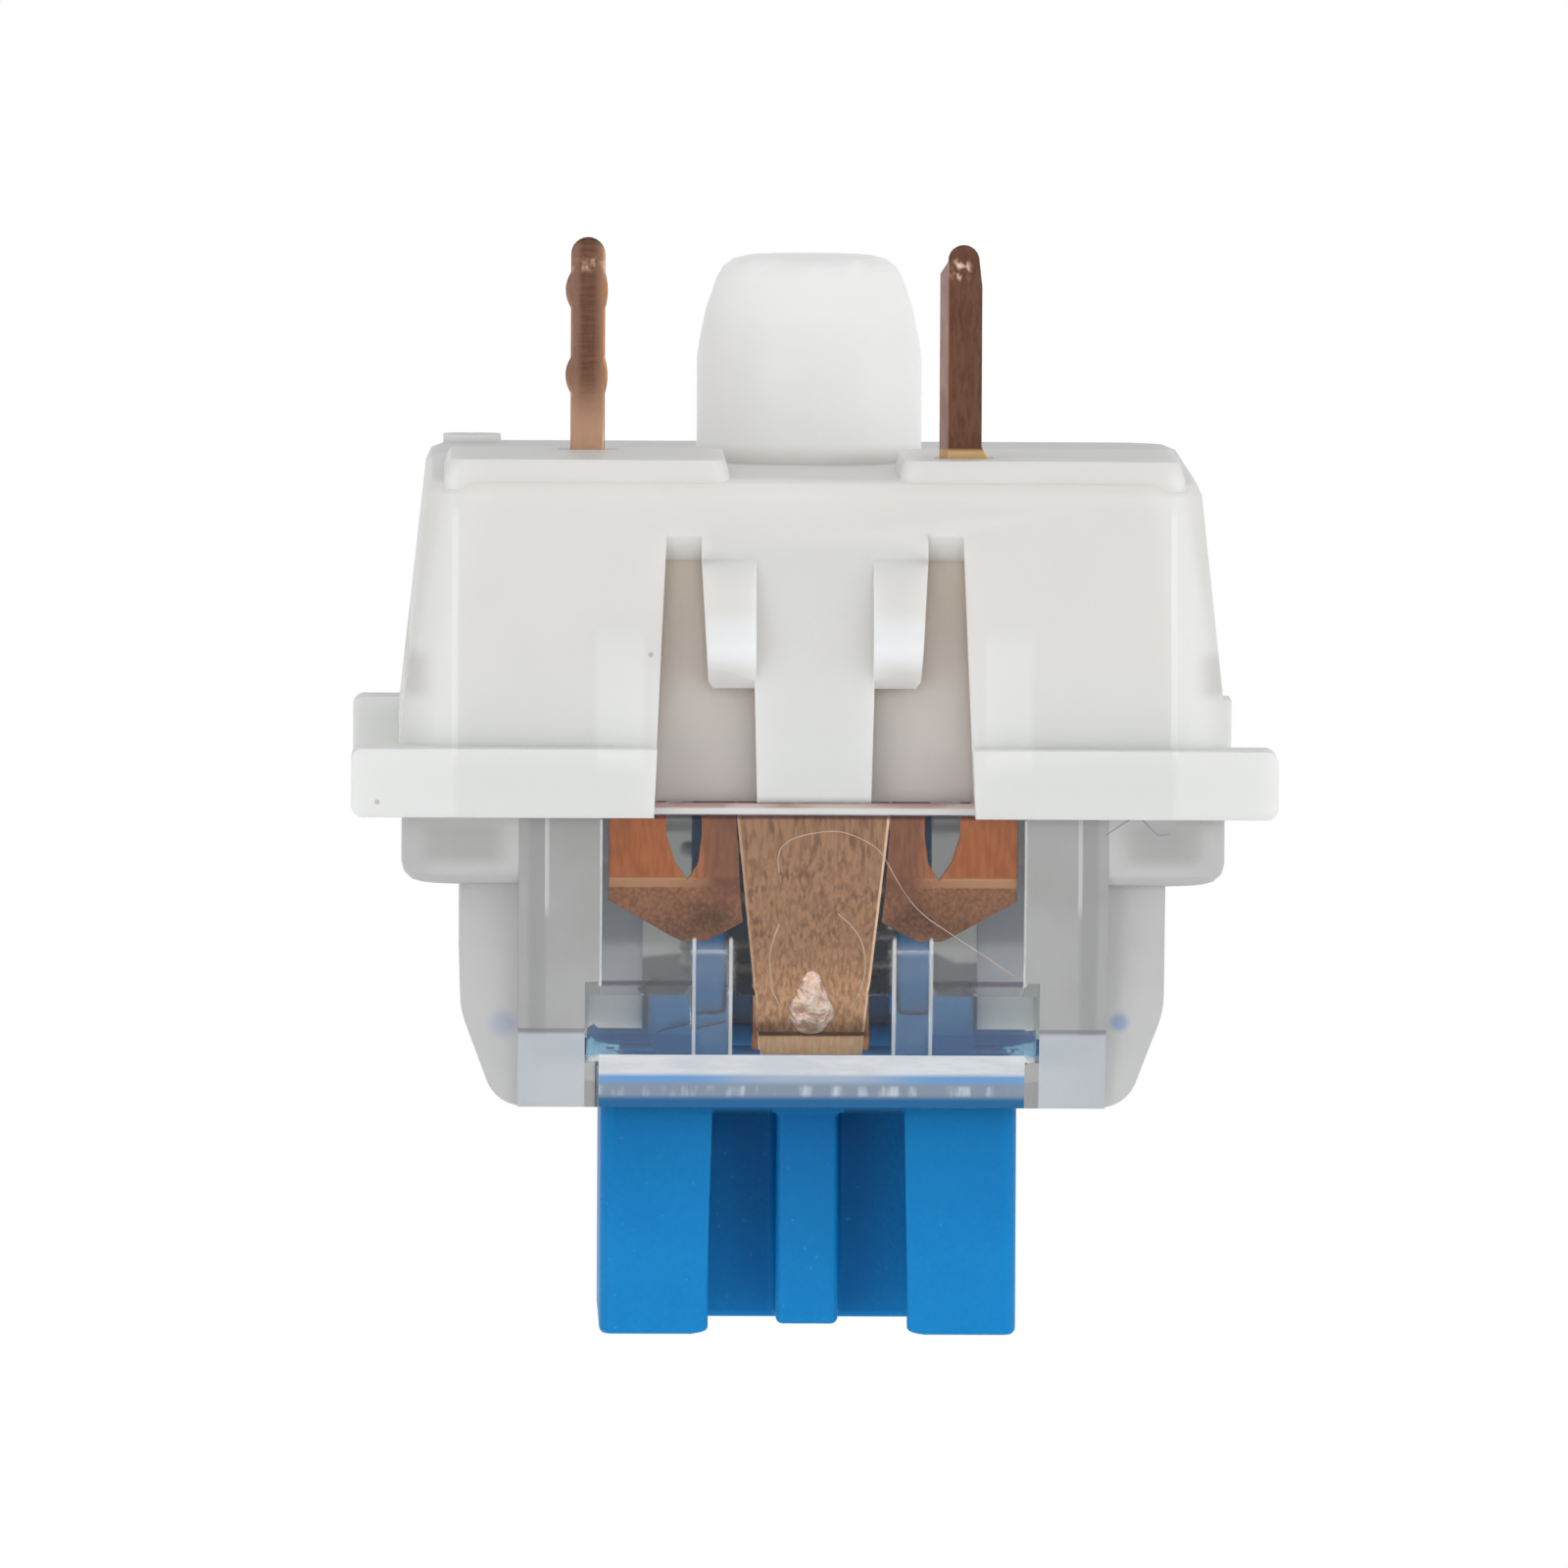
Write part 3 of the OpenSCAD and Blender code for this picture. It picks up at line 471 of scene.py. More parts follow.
def frosted_plastic():
    """The same moulding where its inside is matt: grey-white, with what lies behind as a hint."""
    made, tree, sockets, at = new_material("frosted_plastic", IOR=1.4, Transmission_Weight=0.3)
    x, y, z, across = split_place(tree, at)
    skin = effect(tree, "moulded_skin", At=at, Cloud_Scale=500)
    lines = noise(tree, at, (9000, 9000, 300), 1.0, 2)
    tone = blend(tree, skin["Cloud"], (0.70, 0.705, 0.69), (0.76, 0.765, 0.75))
    tone = tint(tree, tone, rise(tree, lines, 0.55, 0.8), (0.78, 0.78, 0.77), 0.2)
    # Painted shade on the core of the shoulders, and the stem's rails as faint blue blots
    core_shade = both(tree, band(tree, across, 5.5, 6.3, 0.45), band(tree, z, 6.45, 6.8, 0.3))
    tone = tint(tree, tone, core_shade, (0.42, 0.42, 0.40), 0.55)
    blot = either(tree, sums(tree, "MULTIPLY", spot(tree, x, z, 5.22, 9.78, 0.1, 0.22), 0.5),
                  spot(tree, x, z, -5.2, 9.72, 0.06, 0.16))
    tone = tint(tree, tone, blot, (0.12, 0.3, 0.72), 0.55)
    # Strips beside the window, painted darker for the shaded walls behind them, with painted shade
    # in the middle and a painted highlight along the bright inner line
    front = rise(tree, y, -4.9 * MM, -5.1 * MM)
    strip = both(tree, band(tree, across, 3.5, 4.97, 0.01), front)
    inner = blend(tree, skin["Cloud"], (0.475, 0.475, 0.46), (0.55, 0.555, 0.545))
    inner = tint(tree, inner, band(tree, across, 4.56, 4.75, 0.1), (0.40, 0.40, 0.40), 0.6)
    inner_highlight = both(tree, band(tree, across, 4.47, 4.52, 0.02), band(tree, z, 6.3, 7.6, 0.4))
    inner = tint(tree, inner, inner_highlight, (0.74, 0.74, 0.73))
    tone = blend(tree, strip, tone, inner)
    # Corner blocks at the cover's end, and painted shade in the dark lines before them and at the
    # rim's turn
    corner = both(tree, strip, rise(tree, z, 9.9 * MM, 9.95 * MM))
    tone = tint(tree, tone, corner, (0.64, 0.685, 0.72))
    line = either(tree, both(tree, strip, band(tree, z, 9.84, 9.88, 0.03)),
                  both(tree, front, band(tree, z, 6.15, 6.19, 0.03)))
    tone = tint(tree, tone, line, (0.26, 0.24, 0.32), 0.7)
    feed(tree, tone, sockets["Base Color"])
    feed(tree, skin["Roughness"], sockets["Roughness"])
    add_bump(tree, sockets, skin["Grain"], 0.15, 0.02)
    return made


def hazy_plastic():
    """The cover's far walls: lightly matt, so that daylight comes through them."""
    made, tree, sockets, at = new_material(
        "hazy_plastic", IOR=1.33, Transmission_Weight=0.5, Specular_IOR_Level=0.2)
    skin = effect(tree, "moulded_skin", At=at, Cloud_Scale=500)
    tone = blend(tree, skin["Cloud"], (0.70, 0.71, 0.69), (0.77, 0.78, 0.76))
    feed(tree, tone, sockets["Base Color"])
    feed(tree, skin["Roughness"], sockets["Roughness"])
    add_bump(tree, sockets, skin["Grain"], 0.1, 0.02)
    return made


def bright_edge():
    """The clear cover's lip, which gathers light and turns white, with the blue stem behind it."""
    made, tree, sockets, at = new_material(
        "bright_edge", IOR=1.4, Transmission_Weight=0.12, Roughness=0.3)
    _, _, z, across = split_place(tree, at)
    streaks = noise(tree, at, (900, 900, 5200), 1.0, 3, 0.6)
    tone = blend(tree, rise(tree, streaks, 0.35, 0.65), (0.70, 0.73, 0.76), (0.82, 0.84, 0.85))
    # Past the white band the stem's blue shows as a strip, then a dull band with soft, pale marks
    marks = rise(tree, noise(tree, at, (4200, 400, 900), 1.0, 2), 0.48, 0.68)
    marks = both(tree, marks, band(tree, z, 10.86, 10.96, 0.08))
    dull = blend(tree, marks, (0.27, 0.33, 0.42), (0.62, 0.68, 0.74))
    strip = blend(tree, rise(tree, across, 0.5 * MM, 2.2 * MM),
                  (0.42, 0.52, 0.66), (0.17, 0.39, 0.72))
    past = blend(tree, rise(tree, z, 10.7 * MM, 10.84 * MM), strip, dull)
    past = tint(tree, past, rise(tree, z, 10.96 * MM, 11.08 * MM), (0.01, 0.14, 0.34))
    tone = blend(tree, rise(tree, z, 10.58 * MM, 10.68 * MM), tone, past)
    feed(tree, tone, sockets["Base Color"])
    add_bump(tree, sockets, streaks, 0.1, 0.03)
    return made


def blue_plastic():
    """Satin blue moulding. The well about the cross gathers little light."""
    made, tree, sockets, at = new_material(
        "blue_plastic", IOR=1.46, Specular_IOR_Level=0.15, Subsurface_Weight=0.2,
        Subsurface_Radius=(0.3, 0.8, 1), Subsurface_Scale=0.2 * MM)
    x, y, z, across = split_place(tree, at)
    skin = effect(tree, "moulded_skin", At=at, Cloud_Scale=600, Grain_Scale=11000)
    tone = blend(tree, skin["Cloud"], (0.005, 0.235, 0.60), (0.006, 0.255, 0.63))
    tone = tint(tree, tone, rise(tree, skin["Grain"], 0.4, 0.7), (0.01, 0.29, 0.68), 0.3)
    # Painted shade: darker towards the housing
    tone = tint(tree, tone, rise(tree, z, 14.2 * MM, 11.2 * MM), (0.004, 0.16, 0.44), 0.3)
    # Painted shade: the well is dark, apart from the cross, which darkens only towards its root
    near_arm = band(tree, across, -1, 0.6, 0.02)
    arms = either(tree, near_arm, band(tree, sums(tree, "ABSOLUTE", y), -1, 0.7, 0.02))
    inside = rise(tree, radius_of(tree, x, y), WELL_RADIUS + 0.03 * MM, WELL_RADIUS - 0.03 * MM)
    well = both(tree, inside, rise(tree, z, 11.4 * MM, 11.5 * MM))
    depth = both(tree, well, rise(tree, arms, 1.0, 0.0))
    tone = tint(tree, tone, depth, (0.004, 0.022, 0.08), 0.88)
    shade = both(tree, well, near_arm, rise(tree, z, 15.1 * MM, 12 * MM))
    tone = tint(tree, tone, shade, (0.004, 0.14, 0.40), 0.35)
    tone = tint(tree, tone, rise(tree, z, 11.75 * MM, 11.25 * MM), (0.006, 0.12, 0.29), 0.5)
    specks = noise(tree, at, (9000, 9000, 9000), 1.0, 1)
    tone = tint(tree, tone, rise(tree, specks, 0.73, 0.79), (0.2, 0.45, 0.75), 0.25)
    feed(tree, tone, sockets["Base Color"])
    feed(tree, skin["Roughness"], sockets["Roughness"])
    add_bump(tree, sockets, skin["Grain"], 0.35, 0.03)
    return made


def spring_steel():
    made, tree, sockets, at = new_material("spring_steel", Metallic=1.0)
    drawn = noise(tree, at, (7000, 7000, 2500), 1.0, 3)
    feed(tree, blend(tree, drawn, (0.52, 0.52, 0.53), (0.74, 0.74, 0.75)), sockets["Base Color"])
    feed(tree, sums(tree, "MULTIPLY_ADD", drawn, 0.2, 0.18), sockets["Roughness"])
    return made


def contact_bronze():
    """Rolled bronze sheet: brown tongue, wings with painted light that turns them orange, and
    darker, handled pins.
    """
    made, tree, sockets, at = new_material("contact_bronze", Metallic=1.0)
    x, _, z, across = split_place(tree, at)
    grain = effect(tree, "rolled_grain", At=at)
    tone = blend(tree, grain["Streak"], (0.20, 0.098, 0.051), (0.39, 0.205, 0.112))
    tone = tint(tree, tone, grain["Mottle"], (0.44, 0.235, 0.125), 0.5)
    low = blend(tree, grain["Streak"], (0.37, 0.188, 0.093), (0.60, 0.33, 0.17))
    tone = tint(tree, tone, rise(tree, z, 8.2 * MM, 9.5 * MM), low)
    # Wings: painted light makes them orange by the collar, with a painted highlight in a lighter
    # strip at the bend and painted shade on the brown, slanted part
    edge = sums(tree, "MULTIPLY_ADD", sums(tree, "SUBTRACT", z, COLLAR_TOP), TONGUE_TAPER, across)
    wing = rise(tree, edge, 1.31 * MM, 1.325 * MM)
    flat = rise(tree, z, BEND + 0.03 * MM, BEND - 0.03 * MM)
    outer = rise(tree, across, 1.5 * MM, 2.5 * MM)
    brown = blend(tree, grain["Streak"], (0.29, 0.11, 0.05), (0.42, 0.18, 0.085))
    lit_orange = blend(tree, grain["Streak"], (0.33, 0.095, 0.028), (0.41, 0.125, 0.04))
    shaded = both(tree, band(tree, edge, 1.31, 1.75, 0.45), rise(tree, z, 7.9 * MM, 7.2 * MM))
    brown = tint(tree, brown, shaded, (0.14, 0.05, 0.032), 0.6)
    leaf = tint(tree, brown, both(tree, flat, outer), lit_orange)
    bend_highlight = both(tree, band(tree, z, 7.24, 7.36, 0.04), outer)
    leaf = tint(tree, leaf, bend_highlight, (0.55, 0.28, 0.14))
    tone = tint(tree, tone, wing, leaf)
    # Painted highlights along the tongue's edges, stronger on one side, painted shade at its bend
    # near the tip, and a painted highlight on the bright strip past it
    on_tongue = both(tree, rise(tree, wing, 0.5, 0.4), rise(tree, z, 5.8 * MM, 6.1 * MM))
    side = sums(tree, "MULTIPLY_ADD", rise(tree, x, 0.2 * MM, -0.2 * MM), 0.5, 0.25)
    edge_highlight = both(tree, on_tongue, band(tree, edge, 1.265, 1.33, 0.02), side)
    tone = tint(tree, tone, edge_highlight, (0.95, 0.68, 0.46))
    tip_bend = both(tree, on_tongue, band(tree, z, 9.89, 9.92, 0.03))
    tone = tint(tree, tone, tip_bend, (0.24, 0.12, 0.06))
    tip = both(tree, on_tongue, rise(tree, z, 9.93 * MM, 9.97 * MM))
    bright_tip = blend(tree, grain["Streak"], (0.97, 0.58, 0.31), (1.0, 0.70, 0.41))
    tone = tint(tree, tone, tip, bright_tip)
    feed(tree, sums(tree, "MULTIPLY_ADD", tip, -0.7, 1.0), sockets["Metallic"])
    # Left pin: a dark middle between pale edges, drawn lines, and a bright end by the board
    dark = blend(tree, grain["Streak"], (0.11, 0.053, 0.034), (0.15, 0.076, 0.048))
    dark = tint(tree, dark, grain["Mottle"], (0.14, 0.068, 0.044), 0.5)
    drawn = noise(tree, at, (1800, 1800, 14000), 1.0, 3, 0.6)
    highlight_patches = rise(tree, noise(tree, at, (7000, 7000, 5000), 1.0, 2), 0.42, 0.66)
    middle = band(tree, x, 3.74, 3.88, 0.15)
    strip = blend(tree, middle, (0.28, 0.165, 0.12), (0.125, 0.063, 0.041))
    strip = tint(tree, strip, rise(tree, x, 3.63 * MM, 3.54 * MM), (0.48, 0.25, 0.12))
    strip = tint(tree, strip, rise(tree, drawn, 0.4, 0.7), (0.36, 0.20, 0.13), 0.3)
    strip = tint(tree, strip, rise(tree, z, -1.2 * MM, 0.1 * MM), (0.74, 0.46, 0.30))
    # Painted highlight in a ring near the pin's end
    end_highlight = both(tree, highlight_patches, band(tree, z, -3.0, -2.9, 0.12))
    strip = tint(tree, strip, end_highlight, (0.66, 0.43, 0.31))
    # Right pin: dark, with a pale fold, a painted highlight on the tip and a bright foot by the
    # board
    face = tint(tree, dark, rise(tree, x, -2.28 * MM, -2.24 * MM), (0.36, 0.22, 0.18))
    tip_highlight = both(tree, highlight_patches, spot(tree, x, z, -2.46, -2.98, 0.05, 0.2))
    face = tint(tree, face, tip_highlight, (0.9, 0.66, 0.52))
    face = tint(tree, face, rise(tree, z, 0.02 * MM, 0.1 * MM), (0.62, 0.41, 0.19))
    pins = blend(tree, rise(tree, x, 1 * MM, 2 * MM), face, blend(tree, 0.35, strip, dark))
    tone = tint(tree, tone, rise(tree, z, 0.6 * MM, 0.45 * MM), pins)
    feed(tree, tone, sockets["Base Color"])
    feed(tree, sums(tree, "MULTIPLY_ADD", grain["Mottle"], 0.14, 0.3), sockets["Roughness"])
    add_bump(tree, sockets, grain["Height"], 0.18, 0.02)
    return made


def weld_metal():
    """Pinkish, remelted bronze of the weld mark, with golden grains."""
    made, tree, sockets, at = new_material("weld_metal", Metallic=0.8)
    lumps = noise(tree, at, (5200, 5200, 5200), 1.0, 4, 0.6)
    grains = rise(tree, noise(tree, at, (8200, 8200, 8200), 1.0, 2), 0.56, 0.66)
    tone = blend(tree, rise(tree, lumps, 0.34, 0.66), (0.78, 0.48, 0.35), (1.0, 0.84, 0.72))
    tone = tint(tree, tone, grains, (0.78, 0.50, 0.22), 0.8)
    feed(tree, tone, sockets["Base Color"])
    feed(tree, sums(tree, "MULTIPLY_ADD", lumps, 0.3, 0.25), sockets["Roughness"])
    add_bump(tree, sockets, lumps, 0.9, 0.08)
    return made


def contact_gold():
    made, tree, sockets, at = new_material("contact_gold", Metallic=1.0)
    rub = noise(tree, at, (6000, 6000, 6000), 1.0, 3)
    feed(tree, blend(tree, rub, (0.70, 0.48, 0.18), (0.86, 0.64, 0.30)), sockets["Base Color"])
    feed(tree, sums(tree, "MULTIPLY_ADD", rub, 0.2, 0.2), sockets["Roughness"])
    return made


def fibre(name, pale, deep):
    made, tree, sockets, at = new_material(name, Roughness=0.6)
    lint = noise(tree, at, (5000, 5000, 5000), 1.0, 2)
    feed(tree, blend(tree, lint, pale, deep), sockets["Base Color"])
    return made


def sill_plastic():
    """Milky plastic over a thin copper line, where the sheet shows under the sill."""
    made, tree, sockets, at = new_material("sill_plastic", Roughness=0.4, IOR=1.5)
    _, _, z, _ = split_place(tree, at)
    mottle = noise(tree, at, (900, 900, 3000), 1.0, 3)
    pale = blend(tree, mottle, (0.66, 0.65, 0.65), (0.74, 0.73, 0.72))
    copper = blend(tree, rise(tree, mottle, 0.42, 0.6), (0.40, 0.25, 0.22), (0.54, 0.42, 0.39))
    tone = blend(tree, rise(tree, z, 6.0 * MM, 6.05 * MM), copper, pale)
    feed(tree, tone, sockets["Base Color"])
    return made


def floor_paint():
    made, tree, sockets, at = new_material("floor_paint", Roughness=0.8)
    cloud = noise(tree, at, (1, 1, 1), 6.0, 2)
    feed(tree, blend(tree, cloud, (0.88, 0.88, 0.88), (0.9, 0.9, 0.9)), sockets["Base Color"])
    return made


add_camera()
set_world()
# One broad lamp over the camera, to the right, and two weaker ones, low on the left and far right
add_lamp("key", (-0.14, -0.25, -0.14), 0.3, 0.93)
add_lamp("fill", (0.16, -0.24, 0.03), 0.2, 0.17)
add_lamp("side", (-0.3, -0.1, -0.06), 0.25, 0.32)
bpy.context.scene.view_settings.view_transform = "Standard"


# Rigid nodes keep their form and get rounded edges, as a moulding or a pressed sheet has
def merged_copy(source_name, name):
    piece = bpy.data.objects.new(name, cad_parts[source_name].data.copy())
    bpy.context.collection.objects.link(piece)
    make_active(piece)
    bpy.ops.object.mode_set(mode="EDIT")
    bpy.ops.mesh.select_all(action="SELECT")
    bpy.ops.mesh.remove_doubles(threshold=SAME_POINT)
    bpy.ops.mesh.dissolve_limited(angle_limit=math.radians(1))
    bpy.ops.object.mode_set(mode="OBJECT")
    return piece


def soften(piece, source_name, body, finish, width, segments):
    """Rounds a copy's edges, as far as its narrowest face lets them, and replaces the node."""
    make_active(piece)
    edges = piece.modifiers.new("edges", "BEVEL")
    edges.width = width
    edges.segments = segments
    edges.limit_method = "ANGLE"
    edges.angle_limit = BEVEL_FROM
    edges.use_clamp_overlap = True
    bpy.ops.object.modifier_apply(modifier=edges.name)
    bpy.ops.object.shade_smooth_by_angle(angle=SMOOTH_TO)
    piece.data.materials.clear()
    piece.data.materials.append(finish)
    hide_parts(source_name)
    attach(piece, body)
    return piece


def round_edges(piece, width, belongs):
    """Rounds the sharp edges whose middles a test picks."""
    make_active(piece)
    bpy.ops.object.mode_set(mode="EDIT")
    bpy.ops.mesh.select_all(action="DESELECT")
    bpy.ops.mesh.select_mode(type="EDGE")
    bpy.ops.mesh.edges_select_sharp(sharpness=SHARP_FROM)
    bpy.ops.object.mode_set(mode="OBJECT")
    points = piece.data.vertices
    for edge in piece.data.edges:
        middle = (points[edge.vertices[0]].co + points[edge.vertices[1]].co) / 2
        edge.select = edge.select and belongs(middle)
    bpy.ops.object.mode_set(mode="EDIT")
    bpy.ops.mesh.bevel(offset=width, segments=4, clamp_overlap=False)
    bpy.ops.mesh.select_mode(type="VERT")
    bpy.ops.object.mode_set(mode="OBJECT")


def pick_points(piece, belongs):
    """Selects the points that a test picks, and stays in edit mode."""
    make_active(piece)
    bpy.ops.object.mode_set(mode="EDIT")
    bpy.ops.mesh.select_mode(type="VERT")
    bpy.ops.mesh.select_all(action="DESELECT")
    bpy.ops.object.mode_set(mode="OBJECT")
    for vertex in piece.data.vertices:
        vertex.select = belongs(vertex.co)
    bpy.ops.object.mode_set(mode="EDIT")


def shift_points(piece, across, belongs):
    """Moves the points that a test picks along x."""
    pick_points(piece, belongs)
    bpy.ops.transform.translate(value=(across, 0, 0))
    bpy.ops.object.mode_set(mode="OBJECT")


def even_shading(piece):
    """Broad faces keep their own shade, and the rounded edges take the turn between them."""
    make_active(piece)
    weighted = piece.modifiers.new("even", "WEIGHTED_NORMAL")
    weighted.keep_sharp = True
    bpy.ops.object.modifier_apply(modifier=weighted.name)


def cut_line(piece, place, across):
    """Adds an edge line where a plane meets the piece."""
    make_active(piece)
    bpy.ops.object.mode_set(mode="EDIT")
    bpy.ops.mesh.select_all(action="SELECT")
    bpy.ops.mesh.bisect(plane_co=place, plane_no=across)
    bpy.ops.object.mode_set(mode="OBJECT")


def finish_faces(piece, finish, belongs):
    """Gives a finish to the faces whose middles a test picks."""
    piece.data.materials.append(finish)
    slot = len(piece.data.materials) - 1
    for face in piece.data.polygons:
        if belongs(face.center):
            face.material_index = slot


def add_milky_base():
    base = merged_copy("bottom_housing", "milky_base")
    # The catches end in line with the sides of their sprung tongue
    for side in (-1, 1):
        shift_points(base, side * 0.13 * MM, lambda p: (
            abs(side * p.x - CATCH_INSIDE) < 0.01 * MM and 1.8 < p.z / MM < 4
            and abs(p.y) > 6.6 * MM))
    even_shading(soften(base, "bottom_housing", "housing", milky_plastic(), MOULDED_EDGE, 2))


def on_panel(c):
    return c.y < panel_face(c.z) + PANEL_DEEP


def is_frosted(c):
    """The cover's sides, and the panel's outer strips, which narrow at the block."""
    inner = BLOCK_HALF if c.z > BLOCK_TOP else WINDOW_HALF
    beside_window = on_panel(c) and inner < abs(c.x) < PANEL_HALF
    return abs(c.x) > PANEL_HALF - 0.02 * MM or beside_window


def is_lip(c):
    return LIP_FROM < c.z < LIP_TO and on_panel(c) and abs(c.x) < WINDOW_HALF


def add_clear_cover():
    cover = merged_copy("top_housing", "clear_cover")
    soften(cover, "top_housing", "housing", clear_plastic(), CLEAR_EDGE, 2)
    for height in (BLOCK_TOP, LIP_FROM, LIP_TO):
        cut_line(cover, (0, 0, height), (0, 0, 1))
    for half in (PANEL_HALF, BLOCK_HALF, WINDOW_HALF):
        for side in (-1, 1):
            cut_line(cover, (side * half, 0, 0), (1, 0, 0))
    finish_faces(cover, hazy_plastic(), lambda c: c.y > 2 * MM)
    finish_faces(cover, frosted_plastic(), is_frosted)
    finish_faces(cover, bright_edge(), is_lip)
    even_shading(cover)


def add_blue_stem():
    stem = merged_copy("stem", "blue_stem")
    round_edges(stem, STEM_CORNER, lambda m: m.z > 11.6 * MM)
    even_shading(soften(stem, "stem", "slider", blue_plastic(), STEM_EDGE, 1))


def add_contacts():
    bronze = contact_bronze()
    gold = contact_gold()
    leaf = merged_copy("moving_contact", "bronze_leaf")
    # The slits beside the tongue are drawn narrow, so the arms run close along its tapered edges
    for side in (-1, 1):
        for low, high, shift in ((5, 7, 0.06), (7, 7.5, 0.18), (7.5, 8.1, 0.25)):
            shift_points(leaf, -side * shift * MM, lambda p: (
                abs(side * p.x - SLIT_OUTSIDE) < 0.02 * MM and low < p.z / MM < high
                and p.y < -5 * MM))
    even_shading(soften(leaf, "moving_contact", "housing", bronze, LEAF_EDGE, 2))
    blade = merged_copy("fixed_contact", "bronze_blade")
    even_shading(soften(blade, "fixed_contact", "housing", bronze, BLADE_EDGE, 2))
    for name in ("moving_contact_point", "fixed_contact_point"):
        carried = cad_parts[name]
        carried.data.materials.clear()
        carried.data.materials.append(gold)


# Return spring: wire rings screwed up in three runs, with flat end turns, then joined
def add_coil_run(start, pitch, turns):
    deselect()
    bpy.ops.mesh.primitive_circle_add(
        vertices=WIRE_SIDES, radius=WIRE / 2, location=(COIL_RADIUS, 0, start),
        rotation=(math.pi / 2, 0, 0))
    run = bpy.context.object
    keep_place()
    screw = run.modifiers.new("coil", "SCREW")
    screw.axis = "Z"
    screw.angle = 2 * math.pi
    screw.screw_offset = pitch
    screw.iterations = turns
    screw.steps = screw.render_steps = TURN_STEPS
    screw.use_merge_vertices = False
    bpy.ops.object.modifier_apply(modifier=screw.name)
    return run


def add_return_spring():
    low = FLOOR + WIRE / 2
    climb = BLOCK_END - WIRE / 2 - low - 2 * WIRE
    coil = add_coil_run(low, WIRE, 1)
    rest = [add_coil_run(low + WIRE, climb / OPEN_TURNS, OPEN_TURNS),
            add_coil_run(low + WIRE + climb, WIRE, 1)]
    make_active(coil)
    for run in rest:
        run.select_set(True)
    bpy.ops.object.join()
    coil.name = "coil_spring"
    bpy.ops.object.mode_set(mode="EDIT")
    bpy.ops.mesh.select_all(action="SELECT")
    bpy.ops.mesh.remove_doubles(threshold=SAME_POINT)
    bpy.ops.mesh.select_all(action="DESELECT")
    bpy.ops.mesh.select_non_manifold()
    bpy.ops.mesh.fill_holes(sides=0)
    bpy.ops.mesh.select_all(action="SELECT")
    bpy.ops.mesh.normals_make_consistent(inside=False)
    bpy.ops.object.mode_set(mode="OBJECT")
    bpy.ops.object.shade_smooth_by_angle(angle=math.radians(50))
    coil.data.materials.append(spring_steel())
    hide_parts("return_spring")
    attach(coil, "housing")
    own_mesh(coil)


# Weld mark: a flattened bead, narrow towards the board, pressed into the tongue's face
def add_weld_mark():
    deselect()
    middle = Vector((0, tongue_face(WELD_HEIGHT), WELD_HEIGHT))
    bpy.ops.mesh.primitive_uv_sphere_add(
        segments=40, ring_count=24, radius=WELD_RADIUS, location=middle)
    bead = bpy.context.object
    bead.name = "weld_mark"
    keep_place()
    bpy.ops.object.mode_set(mode="EDIT")
    bpy.ops.mesh.select_all(action="SELECT")
    bpy.ops.transform.resize(value=(1.12, 0.26, 1.5), center_override=middle)
    # The bead draws in towards its narrow end in steps
    for limit in (9.6, 9.5, 9.4, 9.3, 9.2, 9.1, 9.0):
        pick_points(bead, lambda p: p.z < limit * MM)
        bpy.ops.transform.resize(value=(0.91, 1, 1), center_override=middle)
    bpy.ops.mesh.select_all(action="SELECT")
    tilt = math.atan(TONGUE_LEAN)
    bpy.ops.transform.rotate(value=tilt, orient_axis="X", center_override=middle)
    bpy.ops.mesh.subdivide(number_cuts=1, smoothness=1)
    bpy.ops.object.mode_set(mode="OBJECT")
    lumps = bpy.data.textures.new("weld_lumps", "CLOUDS")
    lumps.noise_scale = 0.16 * MM
    rough = bead.modifiers.new("lumps", "DISPLACE")
    rough.texture = lumps
    rough.texture_coords = "LOCAL"
    rough.strength = 0.06 * MM
    bpy.ops.object.modifier_apply(modifier=rough.name)
    bpy.ops.object.shade_smooth_by_angle(angle=math.radians(60))
    bead.data.materials.append(weld_metal())
    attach(bead, "housing")


# Hair-thin marks: a curve laid on the face that carries it, made a round strand
def add_strand(name, points, face, proud, thickness, finish):
    """Points are x and z in millimetres, as are the thickness and how proud of its face it lies."""
    deselect()
    bpy.ops.curve.primitive_nurbs_path_add(radius=1 * MM)
    strand = bpy.context.object
    strand.name = name
    strand.data.splines.clear()
    line = strand.data.splines.new("NURBS")
    line.points.add(len(points) - 1)
    for point, (x, z) in zip(line.points, points):
        point.co = (x * MM, face(z * MM) - proud * MM, z * MM, 1)
    line.order_u = 3
    line.use_endpoint_u = True
    line.resolution_u = 6
    strand.data.bevel_depth = thickness * MM / 2
    strand.data.bevel_resolution = 2
    strand.data.use_fill_caps = True
    make_active(strand)
    bpy.ops.object.convert(target="MESH")
    strand = bpy.context.object
    keep_place()
    strand.data.materials.clear()
    strand.data.materials.append(finish)
    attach(strand, "housing")


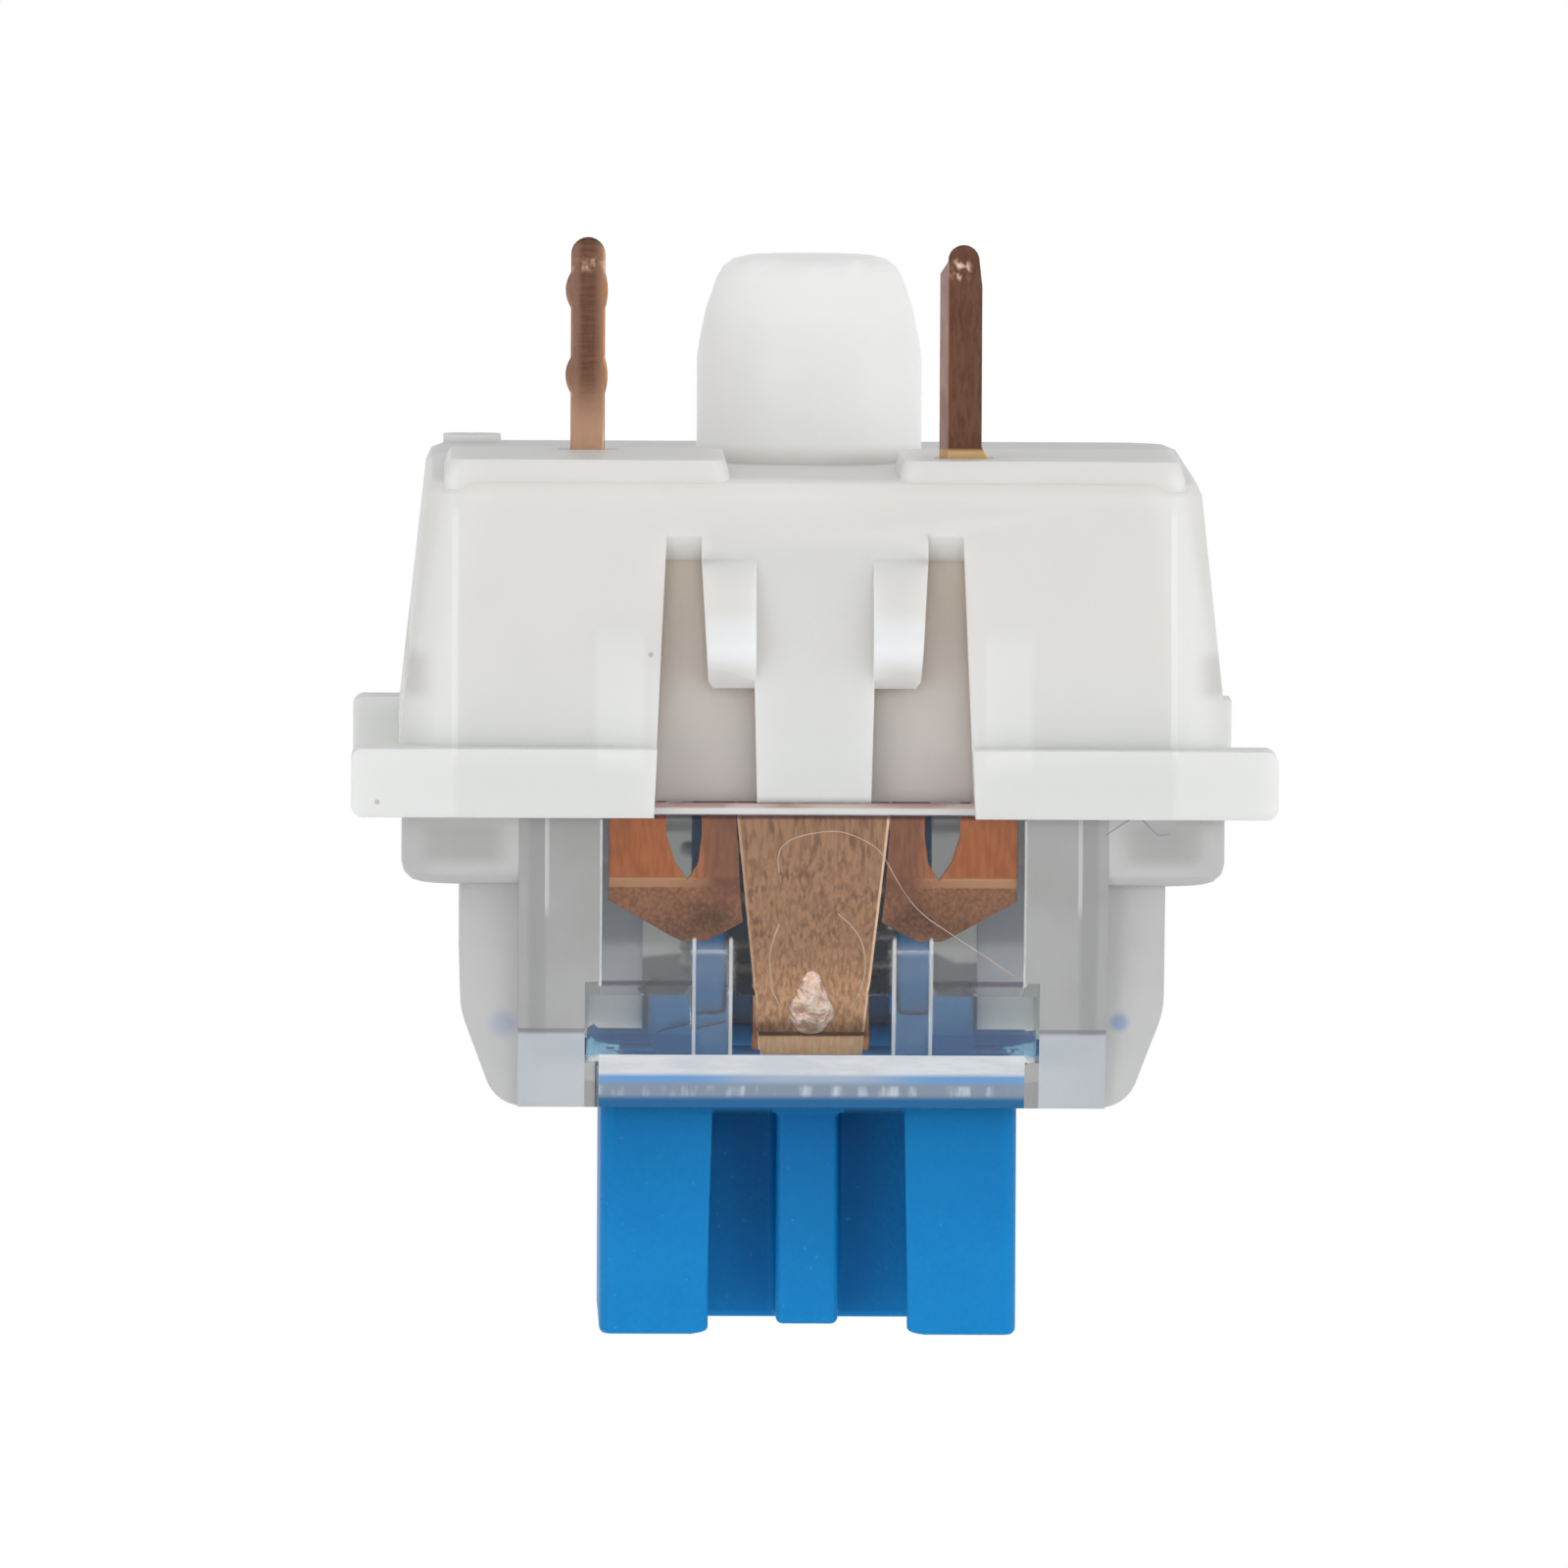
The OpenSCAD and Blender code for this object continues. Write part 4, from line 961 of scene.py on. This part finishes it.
def add_strands():
    white_lint = fibre("white_lint", (0.66, 0.54, 0.46), (0.54, 0.42, 0.34))
    dark_lint = fibre("dark_lint", (0.30, 0.28, 0.38), (0.44, 0.42, 0.50))
    rubbed_bronze = fibre("rubbed_bronze", (0.78, 0.60, 0.44), (0.62, 0.45, 0.30))
    add_strand("white_fibre", [
        (0.58, 7.11), (0.64, 6.83), (0.47, 6.58), (0.13, 6.46), (-0.39, 6.39), (-0.75, 6.51),
        (-1.08, 6.69), (-1.23, 6.92), (-1.43, 7.3), (-1.77, 7.79), (-2.32, 8.16), (-2.75, 8.45),
        (-3.19, 8.74), (-3.44, 8.91)], panel_face, proud=0.003, thickness=0.013,
        finish=white_lint)
    add_strand("dark_hair", [
        (-4.91, 6.47), (-5.17, 6.29), (-5.37, 6.17), (-5.5, 6.17), (-5.69, 6.36), (-5.82, 6.49),
        (-5.98, 6.44)], panel_face, proud=0.004, thickness=0.016,
        finish=dark_lint)
    add_strand("scratch_left", [
        (0.56, 8.01), (0.71, 8.38), (0.72, 8.77), (0.66, 9.24), (0.51, 9.47)],
        tongue_face, proud=0.0, thickness=0.026, finish=rubbed_bronze)
    add_strand("scratch_right", [
        (-0.43, 7.83), (-0.73, 8.07), (-0.89, 8.43), (-0.91, 8.82), (-0.8, 9.28), (-0.65, 9.47)],
        tongue_face, proud=0.0, thickness=0.024, finish=rubbed_bronze)


# Thin sill of the milky moulding across the clip's opening, under the cover's rim
def add_sill():
    deselect()
    bpy.ops.mesh.primitive_cube_add(size=1 * MM, location=(0, -6.8 * MM, 6.045 * MM))
    sill = bpy.context.object
    sill.name = "clip_sill"
    bpy.ops.transform.resize(value=(5.5, 0.3, 0.19), center_override=sill.location)
    keep_place()
    edges = sill.modifiers.new("edges", "BEVEL")
    edges.width = SILL_EDGE
    edges.segments = 3
    bpy.ops.object.modifier_apply(modifier=edges.name)
    bpy.ops.object.shade_smooth_by_angle(angle=SMOOTH_TO)
    sill.data.materials.append(sill_plastic())
    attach(sill, "housing")


# Plain pale floor, well out of the camera's view
def add_floor():
    deselect()
    bpy.ops.mesh.primitive_plane_add(size=4, location=(0, 0, -0.06))
    floor = bpy.context.object
    floor.name = "floor"
    floor.data.materials.append(floor_paint())


add_milky_base()
add_clear_cover()
add_blue_stem()
add_contacts()
add_return_spring()
add_weld_mark()
add_strands()
add_sill()
add_floor()
